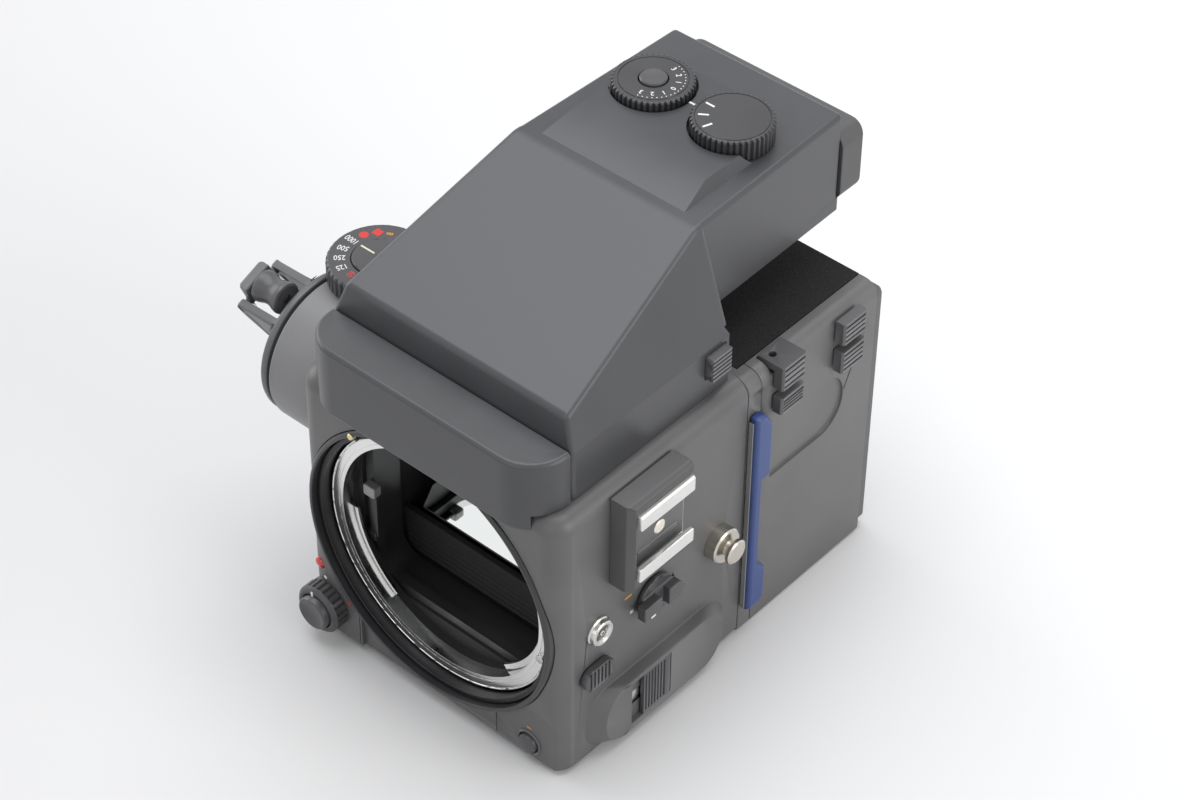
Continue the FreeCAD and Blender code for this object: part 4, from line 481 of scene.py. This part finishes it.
# Release corner
# A chequered collar turned by hand round the dished shutter button, on a fixed seat, with
# painted index dots on the casing, and the red lamp of the delayed release above it.
RELEASE_X, RELEASE_Z, RELEASE_SEAT, RELEASE_BASE = -35.0, 10.0, -33.8, -35.0
INK_SLOT = slot_of["dial_cap"]


def painted(name, colour):
    """Thick printed ink with a faint unevenness."""
    return moulded(name, colour, 0.45, grain=0.12, depth=0.004, mottle=0.04)


def dot(name, centre, facing, radius, ink, body):
    """Print one round mark with a slightly raised, rounded edge."""
    profile = [(0, -0.1), (radius, -0.1), (radius, 0.03), (radius * 0.85, 0.06), (0, 0.06)]
    fit(turned(name, profile, centre, facing, 20), body, INK_SLOT, ink)


white_ink = painted("white_ink", (0.80, 0.80, 0.78))
red_ink = painted("red_ink", (0.62, 0.035, 0.025))
orange_ink = painted("orange_ink", (0.72, 0.30, 0.025))
cream_ink = painted("cream_ink", (0.80, 0.76, 0.52))
collar_black = moulded("collar_black", (0.060, 0.060, 0.062), 0.4, edge_highlight=0.4)
coat("release_collar", collar_black, 0.15)
seat_profile = [(3.6, -0.4), (6.4, -0.4), (6.6, 0.0), (6.6, 1.1), (6.3, 1.3), (3.6, 1.3)]
seat_ring = turned("release_seat", seat_profile, (RELEASE_X, RELEASE_SEAT, RELEASE_Z), TO_FRONT, 64)
fit(seat_ring, "camera", "collar_black", collar_black)
button_black = moulded("button_black", (0.075, 0.075, 0.078), 0.32, grain=0.25, depth=0.004)
button_profile = [(0, -2.6), (3.2, -2.6), (3.2, 2.6), (4.7, 2.6), (4.7, 5.7), (4.45, 6.2), (4.1, 6.3),
                  (3.7, 6.15), (2.6, 5.8), (1.3, 5.6), (0, 5.55)]
button = turned("shutter_button", button_profile, (RELEASE_X, RELEASE_BASE, RELEASE_Z), TO_FRONT, 64)
fit(button, "shutter_button", "button_black", button_black, "release_button")
index = block("collar_index", (-36.35, -39.85, 14.0), (-35.65, -39.6, 16.0), 0.08)
fit(index, "collar", "collar_black", white_ink)
for name, x, z, ink in (("dot_white", -35.8, 17.9, white_ink), ("dot_red", -27.9, 13.9, red_ink),
                        ("dot_orange", -40.9, 15.4, orange_ink)):
    point, facing = casing.ray_cast(Vector((x, -60, z)) * MM, Vector(TO_BACK))[1:3]
    dot(name, point / MM, facing, 0.55, ink, "camera")
lamp_red = moulded("lamp_red", (0.50, 0.012, 0.010), 0.10, grain=0.8, depth=0.01, mottle=0.2)
lamp_red.node_tree.nodes["Principled BSDF"].inputs["Coat Weight"].default_value = 0.8
lamp = turned("red_lamp", [(0, -2.6), (1.6, -2.6), (1.6, 0.15), (1.35, 0.55), (0.8, 0.85), (0, 0.95)],
              (-37.6, -34.55, 21.6), (0, -1, -0.15), 32)
fit(lamp, "camera", "lamp_red", lamp_red, "timer_lamp")

# Battery check
# A small domed button of black plastic that slides in a raised bezel on the lower front, under
# a printed orange tick.
CHECK = (31.3, -33.8, 6.2)
dome = turned("check_dome", [(0, -2.4), (2.7, -2.4), (2.7, 0.8), (2.5, 1.15), (1.6, 1.35), (0, 1.4)],
              CHECK, TO_FRONT, 40)
fit(dome, "battery_test", "button_black", button_black, "check_button")
bezel_profile = [(3.05, -0.6), (3.75, -0.6), (3.75, 0.2), (3.5, 0.45), (3.2, 0.45), (3.05, 0.25)]
fit(turned("check_bezel", bezel_profile, CHECK, TO_FRONT, 40), "camera", "button_black", collar_black)
tick = block("check_tick", (30.6, -33.9, 10.9), (32.0, -33.75, 11.3), 0.05)
fit(tick, "camera", INK_SLOT, orange_ink)

# Sync socket
# A bright threaded ring, nickel plated, with an insulator and a centre pin pressed into it for
# the flash lead. It is fixed in the casing's shoe side.
SIDE_WALL = 41.7
SYNC = (SIDE_WALL, -21.5, 42.8)
TO_SHOE_SIDE = (1, 0, 0)
nickel = turned_metal("bright_nickel", (0.66, 0.65, 0.63), 0.22, SYNC, "X", ring=0.15)
sync_profile = [(2.1, -2.6), (3.2, -2.6), (3.2, 0.0), (3.9, 0.0), (3.9, 0.7), (3.6, 1.0), (3.45, 2.0),
                (3.2, 2.2), (2.6, 2.2), (2.3, 1.9), (2.1, 1.5)]
sync_ring = turned("sync_ring", sync_profile, SYNC, TO_SHOE_SIDE, 48)
fit(sync_ring, "camera", "socket_chrome", nickel, "sync_socket")
insulator = turned("sync_insulator", [(0.7, -2.5), (2.08, -2.5), (2.08, 0.6), (1.5, 0.8), (0.7, 0.8)],
                   SYNC, TO_SHOE_SIDE, 36)
fit(insulator, "camera", "button_black", button_black)
sync_pin = turned("sync_pin", [(0.32, -2.4), (0.72, -2.4), (0.72, 1.7), (0.6, 1.9), (0.32, 1.9)],
                  SYNC, TO_SHOE_SIDE, 24)
fit(sync_pin, "camera", "socket_chrome", nickel)

# Accessory shoe
# A black moulded block with two bent rails of satin chromed steel, a raised floor with a spring
# leaf, and a sprung contact disc.
shoe_black = moulded("shoe_black", (0.075, 0.074, 0.074), 0.45, edge_highlight=0.3)
coat("shoe_block", shoe_black, 0.5)
rail_chrome = moulded("rail_chrome", (0.78, 0.78, 0.76), 0.25, grain=0.4, depth=0.004, mottle=0.04,
                      metallic=0.75)
coat("shoe_rails", rail_chrome, 0.3)
contact_bright = moulded("contact_bright", (0.82, 0.78, 0.68), 0.25, grain=0.2, depth=0.003,
                         metallic=0.5)
disc = turned("shoe_disc", [(0, -0.2), (1.9, -0.2), (1.9, 0.25), (1.6, 0.45), (0, 0.5)],
              (46.0, -5.1, 67.5), TO_SHOE_SIDE, 40)
fit(disc, "camera", "contact_metal", contact_bright, "shoe_contact")
floor_plate = block("shoe_floor", (45.7, -14.7, 59.6), (46.12, 3.5, 77.6), 0.05)
fit(floor_plate, "camera", "shoe_plastic", shoe_black)
spring_steel = moulded("spring_steel", (0.36, 0.36, 0.36), 0.3, grain=0.3, depth=0.003, metallic=0.9)
leaf = block("shoe_leaf", (46.05, -12.6, 63.2), (46.3, 1.2, 64.6), 0.08)
fit(leaf, "camera", "slide_steel", spring_steel)

# Strap lugs
# Turned nickel silver studs with a waist and a flat head, riveted through the casing, one on
# each side, for the ends of the carrying strap.
SHOE_LUG, CRANK_LUG = (SIDE_WALL, 22.2, 39.8), (-SIDE_WALL, 24.5, 39.8)
TO_CRANK_SIDE = (-1, 0, 0)
lug_metal = turned_metal("lug_nickel_silver", (0.60, 0.565, 0.50), 0.24, SHOE_LUG, "X", ring=0.2)
lug_profile = [(0, -2.6), (2.2, -2.6), (2.2, 0.0), (4.8, 0.0), (4.8, 3.1), (4.4, 3.55), (2.9, 3.6),
               (2.2, 3.8), (2.2, 5.0), (2.6, 5.25), (3.3, 5.35), (3.4, 5.6), (3.35, 6.3), (2.9, 6.6),
               (0, 6.6)]
for name, lug, outward in (("strap_lug_shoe_side", SHOE_LUG, TO_SHOE_SIDE),
                           ("strap_lug_crank_side", CRANK_LUG, TO_CRANK_SIDE)):
    fit(turned(name, lug_profile, lug, outward, 48), "camera", "lug_metal", lug_metal, "strap_lugs")

# Levers and battery door
# Small black mouldings on the shoe side: the mirror lock on its disc, the ribbed lens release
# and the ribbed sliding door of the battery, with the battery behind it.
lever_black = moulded("lever_black", (0.065, 0.065, 0.068), 0.34, edge_highlight=0.3)
coat("mirror_lever", lever_black, 0.45, steps=3)
lever_tick = block("lever_tick", (46.05, -7.0, 38.1), (46.16, -5.4, 38.7), 0.04)
fit(lever_tick, "mirror_lock", "lever_black", white_ink)
coat("lens_release", lever_black, 0.2)
coat("battery_door", lever_black, 0.15)
white_mark = block("side_mark_white", (41.6, -9.6, 38.7), (41.78, -8.5, 39.7), 0.05)
fit(white_mark, "camera", INK_SLOT, white_ink)
orange_mark = block("side_mark_orange", (41.6, -11.6, 44.9), (41.78, -9.2, 45.4), 0.05)
fit(orange_mark, "camera", INK_SLOT, orange_ink)
cell_metal = turned_metal("cell_metal", (0.62, 0.61, 0.58), 0.25, (37.0, 0, 11.4), ring=0.4)
coat("battery", cell_metal, 0.4)

# Base plate
# A stamped black plate held by four countersunk screws with crossed slots. One screw is
# modelled and copied to the other corners.
CORNERS = ((-33.5, -27.0), (33.5, -27.0), (-33.5, 24.0), (33.5, 24.0))
FIRST_X, FIRST_Y = CORNERS[0]
DOWN = (0, 0, -1)
base_black = moulded("base_black", (0.06, 0.06, 0.062), 0.45, grain=0.4, depth=0.01)
plate = softened("base_plate", 0.25, "base_plate_form")
screw_steel = moulded("screw_black", (0.14, 0.14, 0.145), 0.3, grain=0.2, depth=0.003, metallic=0.8)
head_profile = [(0, -1.1), (0.9, -1.1), (1.0, -0.8), (1.95, -0.15), (1.95, 0.0), (0, 0.1)]
head = turned("base_screw_1", head_profile, (FIRST_X, FIRST_Y, 0.15), DOWN, 28)
for turn in (20, 110):
    slot_tool = block("driver_tool", (-1.3, -0.22, -0.6), (1.3, 0.22, 0.55))
    slot_tool.rotation_euler = (0, 0, math.radians(turn))
    slot_tool.location = (FIRST_X * MM, FIRST_Y * MM, 0)
    cut_away(head, slot_tool)
sink_profile = [(0, -0.9), (1.4, -0.9), (2.1, -0.2), (2.1, 1.0), (0, 1.0)]
for x, y in CORNERS:
    cut_away(plate, turned("sink_tool", sink_profile, (x, y, 0.0), DOWN, 32), shaded=35)
fit(plate, "camera", "base_black", base_black, "base_plate")
fit(head, "camera", "socket_steel", screw_steel)
for number, (x, y) in enumerate(CORNERS[1:], start=2):
    screw = bpy.data.objects.new(f"base_screw_{number}", head.data.copy())
    bpy.context.scene.collection.objects.link(screw)
    screw.data.transform(Matrix.Translation(Vector((x - FIRST_X, y - FIRST_Y, 0)) * MM))
    fit(screw, "camera", "socket_steel", screw_steel)

# Tripod socket
# A steel bush riveted into the base plate, with a quarter inch bore. Its thread is shown by
# four plain grooves at the standard pitch.
THREAD_RADIUS, GROOVE_RADIUS, THREAD_PITCH = 3.175, 3.55, 1.27
threads = [(6.0, 0.2), (5.8, 0.0), (3.7, 0.0), (THREAD_RADIUS, 0.4)]
for number in range(4):
    level = 0.5 + THREAD_PITCH * number
    threads += [(THREAD_RADIUS, level), (GROOVE_RADIUS, level + 0.5), (GROOVE_RADIUS, level + 0.62),
                (THREAD_RADIUS, level + 1.12)]
threads += [(THREAD_RADIUS, 6.0), (0, 6.0), (0, 8.0), (6.0, 8.0)]
bush_steel = turned_metal("bush_steel", (0.55, 0.55, 0.56), 0.28, (0, 0, 0), "Z")
fit(turned("tripod_bush", threads, (0, 0, 0), UP, 48), "camera", "socket_steel", bush_steel,
    "tripod_socket")

# Winding side
# The gear housing with its round boss, the flanged disc with two fins and the folding block
# and waisted knob between them, all moulded in black.
# The housing's black plastic is painted a lighter grey as painted light, for the light on the crank
# side.
housing_lit_grey = moulded("housing_lit_grey", (0.195, 0.194, 0.197), 0.38, edge_highlight=0.25)
coat("winder_housing", housing_lit_grey, 0.7)
crank_black = moulded("crank_black", (0.115, 0.116, 0.120), 0.36, edge_highlight=0.35)
coat("crank_disc", crank_black, 0.5, steps=3)
coat("knob_block", crank_black, 0.6, steps=3)
knob_profile = [(1.35, 0.0), (3.7, 0.0), (4.2, 0.3), (4.3, 0.9), (4.1, 1.8), (3.7, 2.8), (3.5, 4.2),
                (3.7, 5.6), (4.1, 6.6), (4.3, 7.5), (4.2, 8.1), (3.7, 8.4), (1.35, 8.4)]
knob = turned("winding_knob", knob_profile, (-73.8, -14.327, 78.364), TO_SHOE_SIDE, 48)
knob_black = moulded("knob_black", (0.085, 0.085, 0.088), 0.34, edge_highlight=0.3)
fit(knob, "knob", "knob_plastic", knob_black, "crank_knob")

# Shutter speed dial
# A toothed dial of black anodised metal with printed plain numbers, a round and a square mark,
# round a fixed cap with an index line.
DIAL, DIAL_TOP, CAP_TOP = (-51.4, 4.1), 88.0, 88.3
MARK_REACH, MARK_HALF = 9.6, 1.15
PRINT_HEIGHT = 0.02


def on_circle(centre, reach, angle):
    """The place at a reach from a dial's centre, at an angle in degrees."""
    turn = math.radians(angle)
    return centre[0] + reach * math.cos(turn), centre[1] + reach * math.sin(turn)


def numeral(text, size, centre, turn, ink, body, squeeze):
    """Print a plain number flat on an upward face, read along the turned direction."""
    piece = primitive("number", bpy.ops.object.text_add)
    piece.data.body = text
    piece.data.size = size * MM
    piece.data.align_x = "CENTER"
    piece.data.align_y = "CENTER"
    piece.data.extrude = PRINT_HEIGHT * MM
    piece.data.offset = PRINT_HEIGHT * MM
    piece.data.resolution_u = 3
    bpy.ops.object.convert(target="MESH")
    piece.name = f"number_{text}_{round(centre[0] * 10)}_{round(centre[1] * 10)}"
    piece.scale = (squeeze, 1, 1)
    piece.rotation_euler = (0, 0, math.radians(turn))
    piece.location = Vector(centre) * MM
    bpy.ops.object.transform_apply()
    fit(piece, body, INK_SLOT, ink)


dial_black = moulded("dial_black", (0.065, 0.065, 0.068), 0.36, grain=0.3, depth=0.005)
coat("speed_dial", dial_black, 0.12, steps=1)
coat("dial_cap", dial_black, 0.2)
SPEEDS = (("1000", 178, white_ink), ("500", 200, white_ink), ("250", 222, white_ink),
          ("125", 244, white_ink), ("60", 265, red_ink), ("30", 287, white_ink),
          ("15", 308, white_ink), ("8", 330, white_ink), ("4", 351, white_ink),
          ("2", 12, white_ink), ("1", 34, white_ink), ("2", 62, orange_ink),
          ("4", 90, orange_ink), ("8", 118, orange_ink))
for text, angle, ink in SPEEDS:
    reach = 9.75 if len(text) > 2 else 9.2
    centre = (*on_circle(DIAL, reach, angle), DIAL_TOP + PRINT_HEIGHT)
    numeral(text, 2.5, centre, angle, ink, "shutter_dial", 0.80)
dot("dial_mark_round", (*on_circle(DIAL, MARK_REACH, 158), DIAL_TOP), UP, 1.25, red_ink, "shutter_dial")
x, y = on_circle(DIAL, MARK_REACH, 137)
square = block("dial_mark_square", (x - MARK_HALF, y - MARK_HALF, DIAL_TOP - 0.1),
               (x + MARK_HALF, y + MARK_HALF, DIAL_TOP + 0.06), 0.05)
fit(square, "shutter_dial", INK_SLOT, red_ink)
index_line = block("dial_index", (DIAL[0] - 6.3, DIAL[1] - 0.25, CAP_TOP - 0.1),
                   (DIAL[0] - 1.8, DIAL[1] + 0.25, CAP_TOP + 0.06), 0.05)
fit(index_line, "camera", INK_SLOT, cream_ink)

# Finder
# The prism finder's shell: one black moulding with a long sloping face, leaning sides and a
# straight tunnel to the eyepiece. It is open below and a window is cut for the eyepiece.
SHELL_FRONT, SHELL_BACK, SHELL_HALF, SHELL_WALL = -25.5, 29.5, 37.2, 2.2
SEAM, ROOF = 98.55, 126.1
TUNNEL_SEAM, TUNNEL_END, TUNNEL_HALF = 101.05, 83.5, 26.2
SIDE_RISE, SIDE_LEAN = 28.55, 9.55
SCORE = 0.00002


def trim(piece, planes):
    """Cut a piece off beyond each plane, given by a point and its outward direction."""
    choose(piece)
    bpy.ops.object.mode_set(mode="EDIT")
    for point, outward in planes:
        bpy.ops.mesh.select_all(action="SELECT")
        bpy.ops.mesh.bisect(plane_co=Vector(point) * MM, plane_no=Vector(outward).normalized(),
                            use_fill=True, clear_outer=True, threshold=SLIVER)
    bpy.ops.object.mode_set(mode="OBJECT")


def pick(piece, kind, test):
    """In edit mode, select the faces or edges of a piece that pass a test of middle and element."""
    bpy.ops.mesh.select_mode(type=kind)
    form = bmesh.from_edit_mesh(piece.data)
    for element in (*form.verts, *form.edges, *form.faces):
        element.select = False
    for element in form.faces if kind == "FACE" else form.edges:
        middle = sum((corner.co for corner in element.verts), Vector()) / len(element.verts) / MM
        if test(middle, element):
            element.select_set(True)
    form.select_flush_mode()
    bmesh.update_edit_mesh(piece.data)


roof_half = SHELL_HALF - SIDE_LEAN * (ROOF - SEAM) / SIDE_RISE
finder_black = moulded("finder_black_plastic", (0.058, 0.059, 0.064), 0.34, grain=0.3, depth=0.008,
                       mottle=0.06)
cover = block("finder_cover", (-SHELL_HALF, SHELL_FRONT, SEAM), (SHELL_HALF, SHELL_BACK, ROOF))
trim(cover, (((0, SHELL_FRONT, SEAM), (0, -8.55, 1.6)),
             ((0, -23.9, 107.1), (0, -19.0, 51.0)),
             ((SHELL_HALF, 0, SEAM), (SIDE_RISE, 0, SIDE_LEAN)),
             ((-SHELL_HALF, 0, SEAM), (-SIDE_RISE, 0, SIDE_LEAN))))
bpy.ops.object.mode_set(mode="EDIT")
for point, normal in (((roof_half, SHELL_BACK, 110), (1, 0, 0)),
                      ((-roof_half, SHELL_BACK, 110), (1, 0, 0)),
                      ((0, SHELL_BACK, TUNNEL_SEAM), (0, 0, 1))):
    pick(cover, "FACE", lambda middle, face: face.normal.y > 0.9)
    bpy.ops.mesh.bisect(plane_co=Vector(point) * MM, plane_no=normal, threshold=SCORE)
pick(cover, "FACE", lambda middle, face: face.normal.y > 0.9 and abs(middle.x) < 5
     and middle.z > TUNNEL_SEAM)
bpy.ops.mesh.extrude_region_move(
    TRANSFORM_OT_translate={"value": (0, (TUNNEL_END - SHELL_BACK) * MM, 0)})
bpy.ops.transform.resize(value=(TUNNEL_HALF / roof_half, 1, 1))
pick(cover, "EDGE", lambda middle, edge: edge.is_manifold and edge.is_convex
     and middle.z > TUNNEL_SEAM + 1 and edge.calc_face_angle() > math.radians(10))
bpy.ops.mesh.bevel(offset=1.2 * MM, segments=4, profile=0.5, affect="EDGES")
pick(cover, "FACE", lambda middle, face: face.normal.z < -0.9)
bpy.ops.mesh.delete(type="FACE")
bpy.ops.object.mode_set(mode="OBJECT")
skin = cover.modifiers.new("skin", "SOLIDIFY")
skin.thickness = SHELL_WALL * MM
skin.offset = -1.0
bpy.ops.object.modifier_apply(modifier="skin")
cut_away(cover, block("window_tool", (-13, 79, 103), (13, 85, 116)))
level_shading(cover, 35)
fit(cover, "finder", "finder_plastic", finder_black, "finder_shell")
coat("finder_base", finder_black, 0.15)

# Dial plate
# A raised black plate on the roof with a ramp in front and one printed index line. It is cut
# round for the two dials and runs on between them as a tongue.
EXPOSURE_TOP, MODE_TOP = (-12.2, 59.0, 131.0), (12.2, 59.0, 132.0)
PLATE_HALF, PLATE_FRONT, PLATE_BACK, PLATE_TOP = 22.0, 30.2, 70.2, 129.0
SIDE_FACING = (2.9, 1.74)
DIAL_WELL = 10.8
roof_plate = block("roof_plate", (-PLATE_HALF, PLATE_FRONT, ROOF - 0.05),
                   (PLATE_HALF, PLATE_BACK, PLATE_TOP))
trim(roof_plate, (((0, PLATE_FRONT, ROOF), (0, -2.9, 9.3)),
                  ((PLATE_HALF, 0, ROOF), (SIDE_FACING[0], 0, SIDE_FACING[1])),
                  ((-PLATE_HALF, 0, ROOF), (-SIDE_FACING[0], 0, SIDE_FACING[1]))))
for x, y in (EXPOSURE_TOP[:2], MODE_TOP[:2]):
    low, high = sorted((math.copysign(8.0, x), math.copysign(24.0, x)))
    cut_away(roof_plate, block("corner_tool", (low, 57.6, 125), (high, 72, 131)))
    profile = [(0, -3), (DIAL_WELL, -3), (DIAL_WELL, 6), (0, 6)]
    cut_away(roof_plate, turned("dial_tool", profile, (x, y, ROOF), UP, 96))
round_edges(roof_plate, 0.35, 25)
level_shading(roof_plate, 35)
plate_black = moulded("plate_black", (0.052, 0.054, 0.059), 0.31, grain=0.3, depth=0.006)
fit(roof_plate, "finder", "plate_black", plate_black, "dial_plate")
dash = block("roof_index", (-1.5, 59.3, PLATE_TOP - 0.1), (1.5, 59.95, PLATE_TOP + 0.06), 0.05)
fit(dash, "finder", INK_SLOT, white_ink)

# Roof dials
# Two toothed dials: exposure correction, with plain numbers and dots round its lock button, and
# the mode dial, with plain ticks.
SCALE_START, SCALE_SPAN, SCALE_DOTS = -78, 156, 19
top_black = moulded("top_dial_black", (0.045, 0.045, 0.048), 0.34, grain=0.3, depth=0.005)
for node, top, groove in (("exposure_dial", EXPOSURE_TOP, 8.4), ("mode_dial", MODE_TOP, 8.9)):
    dial = softened(node, 0.12, steps=1)
    profile = [(groove, -0.25), (groove + 0.22, -0.25), (groove + 0.22, 1), (groove, 1)]
    cut_away(dial, turned("ring_tool", profile, top, UP, 96), shaded=25)
    fit(dial, frame["nodes"][node]["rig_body"], "top_dial_black", top_black, node)
lock_profile = [(0, -1.4), (3.4, -1.4), (3.4, 0.3), (3.1, 0.6), (2.4, 0.55), (1.2, 0.4), (0, 0.35)]
lock = turned("lock_button", lock_profile, EXPOSURE_TOP, UP, 48)
fit(lock, "exposure_button", "button_black", button_black, "exposure_lock")
for number, text in enumerate("3210123"):
    angle = SCALE_START + SCALE_SPAN / 6 * number
    centre = (*on_circle(EXPOSURE_TOP, 6.1, angle), EXPOSURE_TOP[2] + PRINT_HEIGHT)
    numeral(text, 2.0, centre, angle - 90, white_ink, "exposure", 0.95)
for number in range(SCALE_DOTS):
    angle = SCALE_START + SCALE_SPAN / (SCALE_DOTS - 1) * number
    centre = (*on_circle(EXPOSURE_TOP, 7.7, angle), EXPOSURE_TOP[2])
    dot(f"exposure_tick_{number}", centre, UP, 0.16, white_ink, "exposure")
for number, angle in enumerate((180, 215, 250), start=1):
    tick = block(f"mode_tick_{number}", (5.6, -0.28, -0.08), (8.2, 0.28, 0.05), 0.04)
    tick.rotation_euler = (0, 0, math.radians(angle))
    tick.location = Vector(MODE_TOP) * MM
    choose(tick)
    bpy.ops.object.transform_apply()
    fit(tick, "mode", INK_SLOT, white_ink)

# Eyepiece and prism
# A black rubber-faced block round a coated lens, the glass prism, painted black outside, and
# the finder's ribbed release.
eyepiece_black = moulded("eyepiece_rubber", (0.080, 0.080, 0.082), 0.5, grain=0.4, depth=0.015)
coat("eyepiece_block", eyepiece_black, 0.3, steps=3)
lens_glass, tree, shader, place = new_material("coated_glass")
dust = add(tree, "TexNoise", vector=place, scale=400.0)
haze = add(tree, "MapRange", value=dust.outputs["Fac"], to_max=0.06)
plug(tree, shader, base_color=(0.80, 0.86, 0.90, 1), roughness=haze.outputs["Result"],
     transmission_weight=0.9, ior=1.5)
coat("eyepiece_lens", lens_glass)
coat("prism", moulded("prism_black", (0.03, 0.03, 0.032), 0.15, grain=0.8, depth=0.002))
catch_black = moulded("catch_black", (0.075, 0.075, 0.077), 0.42, edge_highlight=0.35)
coat("finder_release", catch_black, 0.15)

# Film magazine
# A black moulded shell with a seam cut round its front frame, and two pairs of ribbed pinch
# catches on the shoe side.
magazine_black = moulded("magazine_black", (0.130, 0.127, 0.127), 0.42)
magazine = softened("magazine_shell", 0.25, "magazine_form")
cut_away(magazine, frame_loop("groove_tool", 43.2, -5.0, 85.0, 5.5, 1.8, 36.9, 37.2), shaded=35)
fit(magazine, "magazine", "magazine_black", magazine_black, "magazine_shell")
for node in ("front_latch_upper", "front_latch_lower", "rear_latch_upper", "rear_latch_lower"):
    coat(node, catch_black, 0.12)

# Top panel
# A grained panel of fine leatherette, let into the magazine's top and glued there. Its grain
# is a fine net of pebbles; the hollows between them are painted darker as painted shade.
leather, tree, shader, place = new_material("fine_leatherette")
pebbles = add(tree, "TexVoronoi", vector=place, scale=1400.0, randomness=0.9)
pebbles.feature = "DISTANCE_TO_EDGE"
swell = add(tree, "MapRange", value=pebbles.outputs["Distance"], from_max=0.3).outputs["Result"]
grain = add(tree, "Bump", height=swell, distance=0.05 * MM)
# Painted shade: the hollows between the pebbles are darker than their swells.
hollow_shade = ramp(tree, swell, (0.004, 0.004, 0.004), (0.013, 0.013, 0.014))
plug(tree, shader, base_color=hollow_shade, roughness=0.7, specular_ior_level=0.3,
     normal=grain.outputs["Normal"])
coat("magazine_top_panel", leather)

# Magazine back
# The hinged back, moulded in black, with a card holder glued on: a thin frame round a darker
# sheet.
cover_black = moulded("cover_black", (0.10, 0.10, 0.101), 0.42)
coat("back_cover", cover_black, 0.2)
holder = frame_loop("card_holder", 25.0, 27.0, 58.0, 2.5, 2.2, 84.9, 85.6)
level_shading(holder, 40)
fit(holder, "rear_door", "cover_black", cover_black)
backing = block("card_holder_back", (-23.4, 84.9, 28.6), (23.4, 85.15, 56.4), 0.1)
fit(backing, "rear_door", "cover_black", chamber_black)

# Dark slide
# A thin plate of stainless steel with a moulded blue handle and a grey lip along its front. It
# is drawn out towards the shoe side.
slide_steel = moulded("slide_steel", (0.60, 0.60, 0.60), 0.28, grain=0.5, depth=0.003, metallic=1.0)
coat("dark_slide", slide_steel)
handle_blue = moulded("handle_blue", (0.032, 0.064, 0.215), 0.38, depth=0.008, mottle=0.06)
coat("slide_handle", handle_blue, 0.45, steps=3)
lip = block("slide_lip", (42.0, 32.3, 9.4), (43.3, 32.68, 71.6), 0.08)
fit(lip, "slide", "slide_steel", moulded("slide_lip_grey", (0.24, 0.24, 0.24), 0.5))

# Film insert
# A bent frame of black sheet that carries two moulded spools and the sprung pressure plate. It
# slides into the magazine from behind.
coat("insert_frame", moulded("insert_black", (0.055, 0.055, 0.057), 0.4, metallic=0.3))
coat("pressure_plate", moulded("pressure_black", (0.085, 0.085, 0.09), 0.3, grain=0.6, metallic=0.6))
spool_plastic = moulded("spool_plastic", (0.05, 0.05, 0.052), 0.35)
for node in ("supply_spool", "takeup_spool"):
    coat(node, spool_plastic, 0.25)
